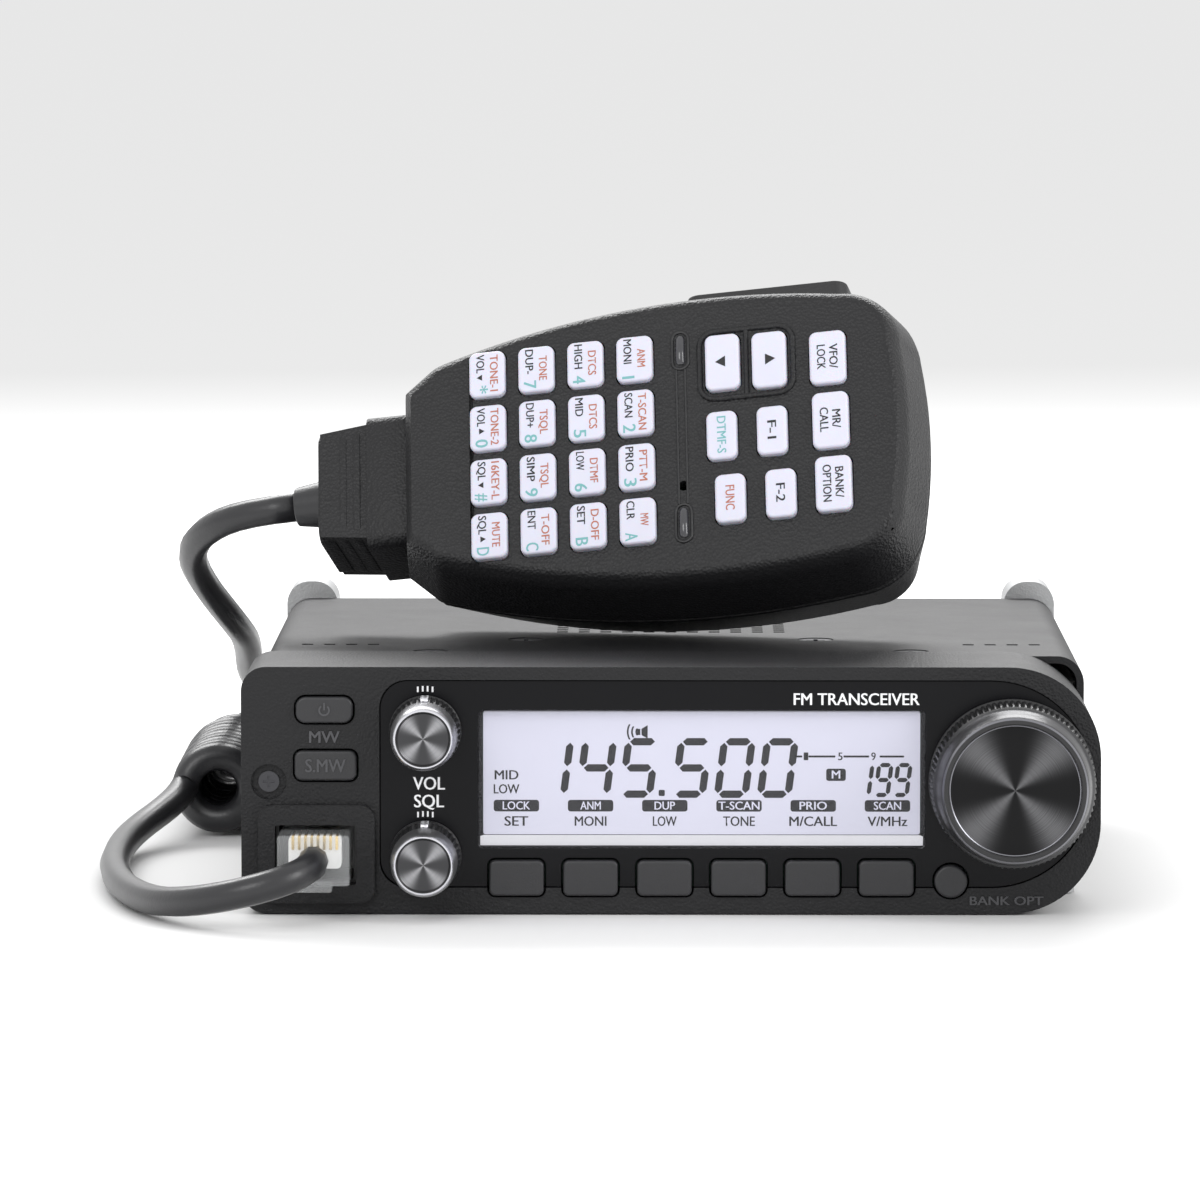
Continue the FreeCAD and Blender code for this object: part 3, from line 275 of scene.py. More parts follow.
lamp("front_lamp", (-0.5, -1.1, 0.75), (0, 0, 0.04), 0.6, 0.5, 4)
lamp("right_lamp", (0.9, -0.5, 0.5), (0, 0, 0.04), 0.4, 0.6, 4)
lamp("back_lamp", (-0.1, 0.75, 0.7), (0, 0, 0.05), 1.0, 0.35, 9)
print("three lamps hung")

# %% [markdown]
# ## Finishes
# Moulded plastic is never flat: the tool's etched grain shows in its gloss, and handling
# leaves soft changes in colour and shine. Both effects go on many finishes here, so each
# is a node group with its own inputs, placed in every material that needs it.

# %% Build the shared node groups
def node_group(name, inputs, outputs):
    """An empty node group with float or colour sockets, each given as (name, value)."""
    tree = bpy.data.node_groups.new(name, "ShaderNodeTree")
    for direction, sockets in (("INPUT", inputs), ("OUTPUT", outputs)):
        for label, preset in sockets:
            kind = "NodeSocketColor" if isinstance(preset, tuple) else "NodeSocketFloat"
            socket = tree.interface.new_socket(name=label, in_out=direction, socket_type=kind)
            socket.default_value = preset
    return tree, tree.nodes.new("NodeGroupInput"), tree.nodes.new("NodeGroupOutput")


def texture(tree, kind, scale_from, **settings):
    """A texture on object coordinates whose scale comes from a socket."""
    place = tree.nodes.new("ShaderNodeTexCoord")
    made = tree.nodes.new(kind)
    tree.links.new(place.outputs["Object"], made.inputs["Vector"])
    if scale_from is not None:
        tree.links.new(scale_from, made.inputs["Scale"])
    for label, number in settings.items():
        made.inputs[label].default_value = number
    return made


def maths(tree, operation, first, second):
    """A maths node; each operand is a socket or a number."""
    made = tree.nodes.new("ShaderNodeMath")
    made.operation = operation
    for slot, operand in zip(made.inputs, (first, second)):
        if isinstance(operand, (int, float)):
            slot.default_value = operand
        else:
            tree.links.new(operand, slot)
    return made.outputs[0]


def make_grain():
    """Etched grain: rounded cells with a finer roughness laid over them."""
    tree, given, result = node_group(
        "etched_grain", [("Cells", 1800.0), ("Fine", 0.3)], [("Height", 0.0)])
    cells = texture(tree, "ShaderNodeTexVoronoi", given.outputs["Cells"], Randomness=1.0)
    fine = texture(tree, "ShaderNodeTexNoise", maths(tree, "MULTIPLY", given.outputs["Cells"], 2.3),
                   Detail=3.0)
    rough = maths(tree, "MULTIPLY", fine.outputs["Fac"], given.outputs["Fine"])
    tree.links.new(maths(tree, "ADD", cells.outputs["Distance"], rough), result.inputs["Height"])
    return tree


def make_handling():
    """Soft smudges: the colour and the shine drift a little over the surface."""
    tree, given, result = node_group(
        "handling", [("Colour", (0.1, 0.1, 0.1, 1.0)), ("Worn", (0.2, 0.2, 0.2, 1.0)),
                     ("Roughness", 0.4), ("Amount", 0.3), ("Size", 90.0)],
        [("Colour", (0.1, 0.1, 0.1, 1.0)), ("Roughness", 0.4)])
    cloud = texture(tree, "ShaderNodeTexNoise", given.outputs["Size"], Detail=4.0, Roughness=0.6)
    share = maths(tree, "MULTIPLY", cloud.outputs["Fac"], given.outputs["Amount"])
    mix = tree.nodes.new("ShaderNodeMix")
    mix.data_type = "RGBA"
    tree.links.new(share, mix.inputs["Factor"])
    tree.links.new(given.outputs["Colour"], mix.inputs["A"])
    tree.links.new(given.outputs["Worn"], mix.inputs["B"])
    tree.links.new(mix.outputs["Result"], result.inputs["Colour"])
    drift = maths(tree, "MULTIPLY", share, 0.35)
    tree.links.new(maths(tree, "ADD", given.outputs["Roughness"], drift), result.inputs["Roughness"])
    return tree


GRAIN = make_grain()
HANDLING = make_handling()
print("groups:", [g.name for g in bpy.data.node_groups])

# %% Mix the materials
SMUDGE_SIZE = 90


def material(name, colour, roughness, worn=None, amount=0.3, cells=None, fine=0.3, depth=0.05,
             **shader):
    """A finish: colour and shine from the handling group, relief from the grain group."""
    made = bpy.data.materials.new(name)
    made.use_nodes = True
    tree = made.node_tree
    surface = tree.nodes["Principled BSDF"]
    handled = tree.nodes.new("ShaderNodeGroup")
    handled.node_tree = HANDLING
    handled.inputs["Colour"].default_value = (*colour, 1)
    handled.inputs["Worn"].default_value = (*(worn or [c * 1.6 + 0.004 for c in colour]), 1)
    handled.inputs["Roughness"].default_value = roughness
    handled.inputs["Amount"].default_value = amount
    handled.inputs["Size"].default_value = SMUDGE_SIZE
    tree.links.new(handled.outputs["Colour"], surface.inputs["Base Color"])
    tree.links.new(handled.outputs["Roughness"], surface.inputs["Roughness"])
    if cells:
        relief = tree.nodes.new("ShaderNodeGroup")
        relief.node_tree = GRAIN
        relief.inputs["Cells"].default_value = cells
        relief.inputs["Fine"].default_value = fine
        bump = tree.nodes.new("ShaderNodeBump")
        bump.inputs["Strength"].default_value = 0.6
        bump.inputs["Distance"].default_value = depth * MM
        tree.links.new(relief.outputs["Height"], bump.inputs["Height"])
        tree.links.new(bump.outputs["Normal"], surface.inputs["Normal"])
    for label, number in shader.items():
        surface.inputs[label.replace("_", " ").title().replace("Ior", "IOR")].default_value = number
    return made


PANEL = material("panel_plastic", (0.011, 0.011, 0.012), 0.42, cells=2300, depth=0.16,
                 specular_ior_level=0.3)
PLATE = material("face_plate_gloss", (0.004, 0.004, 0.005), 0.18, amount=0.15,
                 specular_ior_level=0.16)
PAINT = material("cover_paint", (0.01, 0.01, 0.011), 0.45, cells=3200, fine=0.8, depth=0.06,
                 specular_ior_level=0.3)
CAST = material("cast_aluminium", (0.44, 0.445, 0.45), 0.36, cells=2600, fine=0.9, depth=0.05,
                metallic=0.9)
SCREW = material("screw_steel", (0.06, 0.06, 0.065), 0.34, metallic=0.8)
SCREEN = material("lcd", (0.5, 0.5, 0.6), 0.5, amount=0.05,
                  emission_color=(0.80, 0.80, 0.92, 1), emission_strength=0.28)
WINDOW = material("clear_window", (0.3, 0.3, 0.33), 0.05, amount=0.05, alpha=0.05,
                  specular_ior_level=0.2)
INK = material("black_ink", (0.008, 0.008, 0.01), 0.5, amount=0.1)
WHITE = material("white_ink", (0.86, 0.86, 0.88), 0.5, amount=0.1)
ORANGE = material("orange_ink", (0.42, 0.14, 0.09), 0.5, amount=0.1)
TEAL = material("teal_ink", (0.16, 0.40, 0.41), 0.5, amount=0.1)
SILVER = material("silver_trim", (0.72, 0.72, 0.76), 0.24, metallic=0.85)
KNOB = material("knob_black", (0.014, 0.014, 0.015), 0.33, cells=2600, depth=0.02)
RUBBER_KEY = material("panel_key", (0.02, 0.02, 0.022), 0.36, cells=2600, depth=0.03)
MIC = material("mic_plastic", (0.011, 0.011, 0.012), 0.38, cells=2000, depth=0.2,
               specular_ior_level=0.34)
MIC_KEY = material("mic_key", (0.62, 0.62, 0.72), 0.38, amount=0.12, cells=5200, depth=0.01,
                   subsurface_weight=0.15, subsurface_scale=1.5 * MM)
PTT = material("ptt_rubber", (0.016, 0.016, 0.017), 0.45, cells=2300, depth=0.05)
CORD = material("cord_rubber", (0.016, 0.016, 0.018), 0.3, cells=1900, fine=0.5, depth=0.03,
                coat_weight=0.15, coat_roughness=0.35)
BLACK = material("black_plastic", (0.01, 0.01, 0.011), 0.3)
BOARD = material("circuit_board", (0.01, 0.07, 0.035), 0.35, cells=900, depth=0.04)
NICKEL = material("nickel", (0.6, 0.585, 0.56), 0.24, worn=(0.5, 0.49, 0.47), amount=0.25,
                  metallic=1.0)
GOLD = material("contact_gold", (0.83, 0.6, 0.22), 0.2, metallic=1.0)
CONE = material("speaker_frame", (0.012, 0.012, 0.012), 0.6, cells=900, depth=0.1)
CLEAR = material("clear_plug", (0.93, 0.95, 0.96), 0.06, amount=0.03, alpha=0.22, coat_weight=0.3)
CORE = material("plug_core", (0.8, 0.8, 0.79), 0.4)
LAMP_GLASS = material("lamp_glass", (0.035, 0.035, 0.04), 0.1, coat_weight=0.5)

CAD_FINISH = {
    "chassis": CAST, "top_cover": PAINT, "case_screws": SCREW, "front_panel": PANEL,
    "face_plate": PLATE, "display_glass": WINDOW, "lcd_panel": SCREEN, "front_board": BOARD,
    "mic_jack": BLACK, "main_board": BOARD, "speaker": CONE, "antenna_socket": NICKEL,
    "rear_sockets": BLACK, "main_dial": KNOB, "volume_knob": KNOB, "squelch_knob": KNOB,
    "mic_front_case": MIC, "mic_rear_case": MIC, "mic_circuit_board": BOARD,
    "mic_cord_boot": CORD, "mic_hanger_stud": NICKEL, "ptt_bar": PTT, "microphone_plug": CLEAR,
    "power_key": RUBBER_KEY, "memory_key": RUBBER_KEY, "bank_key": RUBBER_KEY,
}
NODES = {n: bpy.data.objects[n] for n in frame["nodes"] if n in bpy.data.objects}
for node, shown in NODES.items():
    finish = CAD_FINISH.get(node)
    if finish is None:
        finish = RUBBER_KEY if node.startswith("function_key") else MIC_KEY
    shown.data.materials.clear()
    shown.data.materials.append(finish)
cord.data.materials.append(CORD)
print(len(NODES), "nodes given a finish")

# %% [markdown]
# ## Mouldings
# The CAD solids are exact but sharp, and sharp edges catch no light. Each visible moulding
# is shown as a copy of its solid: corners joined, flat faces made whole, edges rolled over
# by a bevel, and normals weighted so that the flats stay flat.

# %% Roll the edges of the mouldings
def shown_as(piece, node):
    """The piece stands for the CAD node: its body and its finish."""
    old = NODES[node]
    piece.data.materials.clear()
    piece.data.materials.append(old.data.materials[0])
    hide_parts(node)
    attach(piece, old["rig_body"])
    return piece


EDGE_ANGLE = 28
OUTLINE_ANGLE = 14
SLOPING = 0.06
NECK_END = 18


def weigh_outline(made):
    """Marks the edges between a case's sloping outer faces, which a hand rubs, for a bevel."""
    shape = bmesh.new()
    shape.from_mesh(made.data)
    weight = shape.edges.layers.float.new("bevel_weight_edge")
    for edge in shape.edges:
        if len(edge.link_faces) != 2 or edge.calc_face_angle(0) < math.radians(OUTLINE_ANGLE):
            continue
        slopes = [abs(face.normal.dot(MIC_OUT)) for face in edge.link_faces]
        middle_of = (edge.verts[0].co + edge.verts[1].co) / 2 - MIC_ORIGIN
        if min(slopes) > SLOPING and middle_of.dot(MIC_LONG) > NECK_END * MM:
            edge[weight] = 1
    shape.to_mesh(made.data)
    shape.free()


def rolled(node, width, segments=2, outline=0):
    """A copy of a CAD node with its edges rolled over, and its outline too if it is given."""
    made = bpy.data.objects.new("soft_" + node, NODES[node].data.copy())
    bpy.context.scene.collection.objects.link(made)
    only(made)
    bpy.ops.mesh.customdata_custom_splitnormals_clear()
    bpy.ops.object.mode_set(mode="EDIT")
    bpy.ops.mesh.select_all(action="SELECT")
    bpy.ops.mesh.remove_doubles(threshold=0.002 * MM)
    bpy.ops.mesh.dissolve_limited(angle_limit=math.radians(0.8))
    bpy.ops.object.mode_set(mode="OBJECT")
    if outline:
        weigh_outline(made)
        rim = made.modifiers.new("rim", "BEVEL")
        rim.width = outline * MM
        rim.segments = 4
        rim.limit_method = "WEIGHT"
        rim.use_clamp_overlap = False
        bpy.ops.object.modifier_apply(modifier="rim")
    edge = made.modifiers.new("edge", "BEVEL")
    edge.width = width * MM
    edge.segments = segments
    edge.limit_method = "ANGLE"
    edge.angle_limit = math.radians(EDGE_ANGLE)
    edge.miter_outer = "MITER_ARC"
    bpy.ops.object.modifier_apply(modifier="edge")
    bpy.ops.object.shade_smooth_by_angle(angle=math.radians(40))
    flats = made.modifiers.new("flats", "WEIGHTED_NORMAL")
    flats.keep_sharp = True
    bpy.ops.object.modifier_apply(modifier="flats")
    return shown_as(made, node)


PANEL_KEYS = ["power_key", "memory_key", "bank_key"]
PANEL_KEYS += [n for n in NODES if n.startswith("function_key")]
MIC_KEYS = sorted(n for n in NODES if n.startswith("mic_") and n.endswith("_key"))
MIC_KEYS += sorted(n for n in NODES if n.startswith("mic_key_"))
for node, width in (("front_panel", 0.55), ("top_cover", 0.3), ("chassis", 0.35),
                    ("ptt_bar", 0.7), ("face_plate", 0.15), ("mic_cord_boot", 0.3),
                    ("microphone_plug", 0.4)):
    rolled(node, width)
rolled("mic_front_case", 0.3, outline=1.0)
rolled("mic_rear_case", 0.3, outline=0.8)
for node in PANEL_KEYS:
    rolled(node, 0.45, segments=3)
for node in MIC_KEYS:
    rolled(node, 0.5, segments=3)

# %% [markdown]
# ## Printing
# Lettering is ink: letters are turned into thin solid shapes that sit a few hundredths of
# a millimetre proud of the surface, stretched to the width that the line of print has.

# %% Write the printing tools
CAP_HEIGHT = 0.682
INK_PROUD = 0.03
INK_DEEP = 0.02


def placed(made, spot, right, up):
    """Moves a flat shape's mesh so that its X runs right and its Y up from the spot."""
    right = Vector(right)
    up = Vector(up)
    out = right.cross(up)
    frame_of = Matrix((right, up, out)).transposed().to_4x4()
    frame_of.translation = Vector(spot)
    made.data.transform(frame_of)
    return made


def printed(text, spot, right, up, high, wide, ink, align="CENTER", bold=0.035,
            proud=INK_PROUD):
    """One line of print, its foot at the spot, fitted to a height and a width in mm.

    A second strike, a hair to the right of the first, makes the letters bold."""
    data = bpy.data.curves.new(text, "FONT")
    data.body = text
    data.size = 1
    data.resolution_u = 3
    made = bpy.data.objects.new("print", data)
    bpy.context.scene.collection.objects.link(made)
    only(made)
    bpy.ops.object.convert(target="MESH")
    made = bpy.context.object
    if bold:
        again = made.modifiers.new("second_strike", "ARRAY")
        again.use_relative_offset = False
        again.use_constant_offset = True
        again.constant_offset_displace = (bold, 0, 0.004)
        bpy.ops.object.modifier_apply(modifier="second_strike")
    low = min(v.co.x for v in made.data.vertices)
    span = max(v.co.x for v in made.data.vertices) - low
    shift = {"LEFT": 0, "CENTER": -0.5, "RIGHT": -1}[align]
    for v in made.data.vertices:
        v.co.x = ((v.co.x - low) / span + shift) * wide * MM
        v.co.y = v.co.y / CAP_HEIGHT * high * MM
        v.co.z *= MM
    thick = made.modifiers.new("ink", "SOLIDIFY")
    thick.thickness = (proud + INK_DEEP) * MM
    thick.offset = 1
    bpy.ops.object.modifier_apply(modifier="ink")
    for v in made.data.vertices:
        v.co.z -= INK_DEEP * MM
    made.data.materials.clear()
    made.data.materials.append(ink)
    return placed(made, spot, right, up)


def closed(made):
    """Joins a shape's loose seams and turns its faces outwards."""
    only(made)
    bpy.ops.object.mode_set(mode="EDIT")
    bpy.ops.mesh.select_all(action="SELECT")
    bpy.ops.mesh.remove_doubles(threshold=0.001 * MM)
    bpy.ops.mesh.normals_make_consistent(inside=False)
    bpy.ops.object.mode_set(mode="OBJECT")
    return made


def flat(points, spot, right, up, ink, proud=INK_PROUD, deep=INK_DEEP):
    """A flat shape with some thickness, cut to an outline in mm."""
    data = bpy.data.curves.new("outline", "CURVE")
    data.dimensions = "2D"
    data.fill_mode = "BOTH"
    data.extrude = (proud + deep) / 2 * MM
    line = data.splines.new("POLY")
    line.points.add(len(points) - 1)
    for knot, (x, y) in zip(line.points, points):
        knot.co = (x * MM, y * MM, 0, 1)
    line.use_cyclic_u = True
    made = bpy.data.objects.new("shape", data)
    bpy.context.scene.collection.objects.link(made)
    only(made)
    bpy.ops.object.convert(target="MESH")
    made = bpy.context.object
    made.data.transform(Matrix.Translation((0, 0, (proud - deep) / 2 * MM)))
    made.data.materials.clear()
    made.data.materials.append(ink)
    return closed(placed(made, spot, right, up))


def joined(name, pieces, body):
    """One named piece from several, riding on a body."""
    only(*pieces)
    if len(pieces) > 1:
        bpy.ops.object.join()
    made = bpy.context.object
    made.name = name
    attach(made, body)
    return made


def pill(wide, high, radius, steps=5):
    """The outline of a rounded rectangle about its centre."""
    points = []
    for turn, (x, y) in enumerate(((1, 1), (-1, 1), (-1, -1), (1, -1))):
        for step in range(steps + 1):
            angle = math.radians(90 * (turn + step / steps))
            points.append((x * (wide / 2 - radius) + radius * math.cos(angle),
                           y * (high / 2 - radius) + radius * math.sin(angle)))
    return points


RIGHT = (1, 0, 0)
UP = (0, 0, 1)


def written(text, x, y, z, high, wide, ink, **how):
    """A line of print on a face that looks forward: x and z in mm, y where the face is."""
    return printed(text, (x * MM, y, z * MM), RIGHT, UP, high, wide, ink, **how)


def stamped(outline, x, y, z, ink, **how):
    """A flat shape on a face that looks forward: x and z in mm, y where the face is."""
    return flat(outline, (x * MM, y, z * MM), RIGHT, UP, ink, **how)


print("a capital is", CAP_HEIGHT, "of its letter's size")

# %% [markdown]
# ## Knobs
# A knob is turned on a lathe, so one profile swept round its axis makes it. The knurl is
# the same sweep with every other pair of columns pulled in. Its face is spun metal with the
# cutter's fine rings in its relief, and the pair of wedges that cross the centre is a painted
# highlight in its colour, streaked by the rings.

# %% Build the spun face's node group
RINGS_PER_METRE = 9000


def make_painted_highlight_and_rings():
    """Painted highlight wedges across a turned face, streaked by fine rings, and the rings' relief."""
    tree, given, result = node_group(
        "spun_face_painted_highlight", [("Centre X", 0.0), ("Centre Z", 0.0), ("Dark", (0.03, 0.03, 0.03, 1.0)),
                      ("Light", (0.5, 0.5, 0.5, 1.0)), ("Narrow", 5.0)],
        [("Colour", (0.1, 0.1, 0.1, 1.0)), ("Height", 0.0)])
    place = tree.nodes.new("ShaderNodeTexCoord")
    parts = tree.nodes.new("ShaderNodeSeparateXYZ")
    tree.links.new(place.outputs["Object"], parts.inputs[0])
    across = maths(tree, "SUBTRACT", parts.outputs["X"], given.outputs["Centre X"])
    above = maths(tree, "SUBTRACT", parts.outputs["Z"], given.outputs["Centre Z"])
    angle = maths(tree, "ARCTAN2", above, across)
    # The wedges are a painted highlight: the colour turns lighter by the angle round the knob's centre.
    wave = maths(tree, "ABSOLUTE", maths(tree, "SINE", maths(tree, "MULTIPLY", angle, 2), 0), 0)
    painted_wedge = maths(tree, "POWER", wave, given.outputs["Narrow"])
    squares = maths(tree, "ADD", maths(tree, "MULTIPLY", across, across),
                    maths(tree, "MULTIPLY", above, above))
    radius = maths(tree, "MULTIPLY", maths(tree, "SQRT", squares, 0), RINGS_PER_METRE)
    rings = tree.nodes.new("ShaderNodeTexNoise")
    rings.noise_dimensions = "1D"
    rings.inputs["Scale"].default_value = 1.0
    rings.inputs["Detail"].default_value = 3.0
    tree.links.new(radius, rings.inputs["W"])
    streaks = maths(tree, "MULTIPLY", rings.outputs["Fac"], 1.7)
    mix = tree.nodes.new("ShaderNodeMix")
    mix.data_type = "RGBA"
    mix.clamp_factor = True
    tree.links.new(maths(tree, "MULTIPLY", painted_wedge, streaks), mix.inputs["Factor"])
    tree.links.new(given.outputs["Dark"], mix.inputs["A"])
    tree.links.new(given.outputs["Light"], mix.inputs["B"])
    tree.links.new(mix.outputs["Result"], result.inputs["Colour"])
    tree.links.new(rings.outputs["Fac"], result.inputs["Height"])
    return tree


SPUN_PAINTED_HIGHLIGHT = make_painted_highlight_and_rings()


def spun_painted_highlight_material(name, node, dark, light):
    """Spun metal centred on a knob, with highlight wedges painted into its colour."""
    made = bpy.data.materials.new(name)
    made.use_nodes = True
    tree = made.node_tree
    surface = tree.nodes["Principled BSDF"]
    surface.inputs["Metallic"].default_value = 0.85
    surface.inputs["Roughness"].default_value = 0.3
    spin = tree.nodes.new("ShaderNodeGroup")
    spin.node_tree = SPUN_PAINTED_HIGHLIGHT
    spin.inputs["Centre X"].default_value = middle(node).x
    spin.inputs["Centre Z"].default_value = middle(node).z
    spin.inputs["Dark"].default_value = (dark, dark, dark * 1.05, 1)
    # The light colour is the painted highlight in the wedges.
    spin.inputs["Light"].default_value = (light, light, light * 1.04, 1)
    bump = tree.nodes.new("ShaderNodeBump")
    bump.inputs["Strength"].default_value = 0.25
    bump.inputs["Distance"].default_value = 0.02 * MM
    tree.links.new(spin.outputs["Height"], bump.inputs["Height"])
    tree.links.new(bump.outputs["Normal"], surface.inputs["Normal"])
    tree.links.new(spin.outputs["Colour"], surface.inputs["Base Color"])
    return made


print("group:", SPUN_PAINTED_HIGHLIGHT.name)

# %% Turn the knobs
def turned(node, profile, ribs, knurl, depth, finishes):
    """A knob from (radius, height, finish) steps in mm, with ribs over some of the steps.

    A disc is pushed out and resized step by step. Every other pair of its columns is
    drawn in by the ribs' depth over the steps in knurl."""
    base = corners(node)[1].y
    centre = middle(node)
    columns = ribs * 4
    heart = Vector((centre.x, base, centre.z))
    bpy.ops.object.select_all(action="DESELECT")
    bpy.ops.mesh.primitive_circle_add(vertices=columns, radius=profile[0][0] * MM,
                                      fill_type="NGON", location=heart,
                                      rotation=(math.pi / 2, 0, 0))
    made = bpy.context.object
    made.name = "turned_" + node
    bpy.ops.object.transform_apply(location=True, rotation=True, scale=True)
    shown_as(made, node)
    for finish in finishes:
        made.data.materials.append(finish)
    only(made)
    bpy.ops.object.mode_set(mode="EDIT")
    bpy.ops.mesh.select_all(action="SELECT")
    for before, after in zip(profile, profile[1:]):
        bpy.ops.mesh.extrude_region_move(
            TRANSFORM_OT_translate={"value": (0, (before[1] - after[1]) * MM, 0)})
        ratio = after[0] / before[0]
        bpy.ops.transform.resize(value=(ratio, 1, ratio), center_override=heart)
        cap = next(face for face in bmesh.from_edit_mesh(made.data).faces if face.select)
        for edge in cap.edges:
            for face in edge.link_faces:
                face.material_index = after[2]
    for step in knurl:
        radius, height, _ = profile[step]
        bpy.ops.mesh.select_all(action="DESELECT")
        shape = bmesh.from_edit_mesh(made.data)
        for vertex in shape.verts:
            arm = vertex.co - heart
            column = round(math.atan2(arm.z, arm.x) / (2 * math.pi) * columns) % columns
            if abs(-arm.y - height * MM) < 0.01 * MM and column % 4 in (2, 3):
                vertex.select = abs(math.hypot(arm.x, arm.z) - radius * MM) < 0.05 * MM
        shape.select_flush_mode()
        bmesh.update_edit_mesh(made.data)
        ratio = (radius - depth) / radius
        bpy.ops.transform.resize(value=(ratio, 1, ratio), center_override=heart)
    bpy.ops.mesh.select_all(action="SELECT")
    bpy.ops.mesh.normals_make_consistent(inside=False)
    bpy.ops.object.mode_set(mode="OBJECT")
    bpy.ops.object.shade_smooth_by_angle(angle=math.radians(24))
    return made


RIM = material("knob_rim", (0.3, 0.3, 0.31), 0.28, metallic=0.9)
DIAL_RIM = material("dial_rim", (0.045, 0.045, 0.048), 0.3, metallic=0.6)
DIAL_EDGE = material("dial_edge", (0.22, 0.22, 0.24), 0.22, metallic=1.0)
BRIGHT = material("knob_edge", (0.62, 0.62, 0.66), 0.2, metallic=1.0)
# finish 0 is the moulded skirt, 1 the turned rim, 2 the bright edge, 3 the spun face
DIAL_PROFILE = [
    (13.4, 0, 0), (13.6, 0.3, 0), (13.6, 1.0, 0), (13.3, 1.3, 0), (13.3, 1.6, 0),
    (13.5, 1.9, 0), (13.35, 7.9, 0), (13.1, 8.5, 0), (12.9, 8.9, 0), (12.75, 9.1, 1),
    (12.6, 9.4, 1), (12.35, 11.6, 1), (12.0, 13.0, 1), (11.8, 13.6, 1), (11.5, 13.95, 2),
    (11.3, 14, 0), (10.9, 13.95, 0), (10.7, 13.75, 0), (10.6, 13.3, 2), (10.45, 13.2, 2),
    (10.3, 13.22, 3), (7, 13.21, 3), (3.5, 13.2, 3), (0.4, 13.19, 3)]
KNOB_PROFILE = [
    (5.8, 0, 0), (5.9, 0.2, 0), (5.9, 0.8, 0), (5.7, 1.0, 0), (5.7, 1.3, 0), (5.85, 1.6, 0),
    (5.7, 6.4, 0), (5.45, 7.0, 0), (5.4, 7.4, 1), (5.3, 11.2, 1), (5.1, 12.2, 1), (4.85, 12.8, 1),
    (4.7, 13.0, 2), (4.5, 13.0, 2), (4.35, 12.9, 0), (4.2, 12.6, 0), (4.1, 12.5, 3),
    (2.5, 12.5, 3), (0.3, 12.5, 3)]
# Each spun face's last two numbers are its dark colour and its painted highlight colour.
turned("main_dial", DIAL_PROFILE, 84, (5, 6), 0.42,
       [DIAL_RIM, DIAL_EDGE, spun_painted_highlight_material("dial_painted_highlight", "main_dial", 0.012, 0.15)])
SMALL_KNOBS = ("volume_knob", "squelch_knob")
for node in SMALL_KNOBS:
    turned(node, KNOB_PROFILE, 36, (5, 6), 0.34,
           [RIM, BRIGHT, spun_painted_highlight_material(node + "_painted_highlight", node, 0.06, 0.4)])
for node in SMALL_KNOBS:
    top = middle(node)
    index = flat(pill(1.3, 4.6, 0.3), (top.x, corners(node)[1].y - 4.4 * MM, top.z + 5.6 * MM),
                 (-1, 0, 0), (0, -1, 0), SILVER, proud=0.45, deep=0.6)
    joined(node + "_index", [index], node)
print("knobs turned, the dial with", len(DIAL_PROFILE), "steps")

# %% [markdown]
# ## The display
# The screen is lit from behind, and its figures are dark bars that are switched on. Each
# figure is built from the bars it lights, so any number could be set.

# %% Draw the display
SLANT = 0.13
SEGMENTS = {"a": ((0.05, 1), (0.95, 1)), "g": ((0.05, 0.5), (0.95, 0.5)),
            "d": ((0.05, 0), (0.95, 0)), "f": ((0, 0.98), (0, 0.53)), "b": ((1, 0.98), (1, 0.53)),
            "e": ((0, 0.47), (0, 0.02)), "c": ((1, 0.47), (1, 0.02))}
LIT = {"0": "abcdef", "1": "bc", "4": "bcfg", "5": "acdfg", "6": "acdefg", "9": "abcdfg"}


def digit(figure, x, z, wide, high, thick, front):
    """A slanted seven-segment figure in print, its foot at x, z in mm."""
    made = []
    for key in LIT[figure]:
        (x1, y1), (x2, y2) = SEGMENTS[key]
        start = Vector((x1 * wide, y1 * high))
        stop = Vector((x2 * wide, y2 * high))
        along = (stop - start).normalized() * thick / 2
        side = Vector((-along.y, along.x))
        ring = [start, start + along - side, stop - along - side, stop,
                stop - along + side, start + along + side]
        made.append(flat([(p.x + p.y * SLANT, p.y) for p in ring],
                         (x * MM, front, z * MM), RIGHT, UP, INK))
    return made


FRONT_Y = corners("lcd_panel")[0].y
OVER_Y = FRONT_Y - 0.02 * MM
ink_pieces = []
for figure, start in zip("145500", (-22, -15, -8, 0.6, 7.6, 14.6)):
    ink_pieces += digit(figure, start, 19.4, 4.5, 8.6, 1.2, FRONT_Y)
ink_pieces.append(stamped(pill(1, 1, 0.2), -1.5, FRONT_Y, 19.6, INK))
for order, figure in enumerate("199"):
    ink_pieces += digit(figure, 30.2 + 3.1 * order, 19.3, 2, 4.9, 0.7, FRONT_Y)
LABELS = (("LOCK", "SET"), ("ANM", "MONI"), ("DUP", "LOW"), ("T-SCAN", "TONE"),
          ("PRIO", "M/CALL"), ("SCAN", "V/MHz"))
pale_pieces = []
for order, (top, low) in enumerate(LABELS):
    x = -25.2 + 12.1 * order
    ink_pieces.append(stamped(pill(7.4, 1.9, 0.45), x, FRONT_Y, 17.5, INK))
    pale_pieces.append(written(top, x, OVER_Y, 16.88, 1.3, 1.12 * len(top), SCREEN))
    ink_pieces.append(written(low, x, FRONT_Y, 14.2, 1.55, 1.3 * len(low), INK))
ink_pieces.append(written("MID", -26.8, FRONT_Y, 21.8, 1.5, 3.9, INK))
ink_pieces.append(written("LOW", -26.8, FRONT_Y, 19.5, 1.5, 4.2, INK))
ink_pieces.append(stamped(pill(3.2, 2, 0.4), 26.9, FRONT_Y, 22.6, INK))
pale_pieces.append(written("M", 26.9, OVER_Y, 22, 1.3, 1.4, SCREEN))
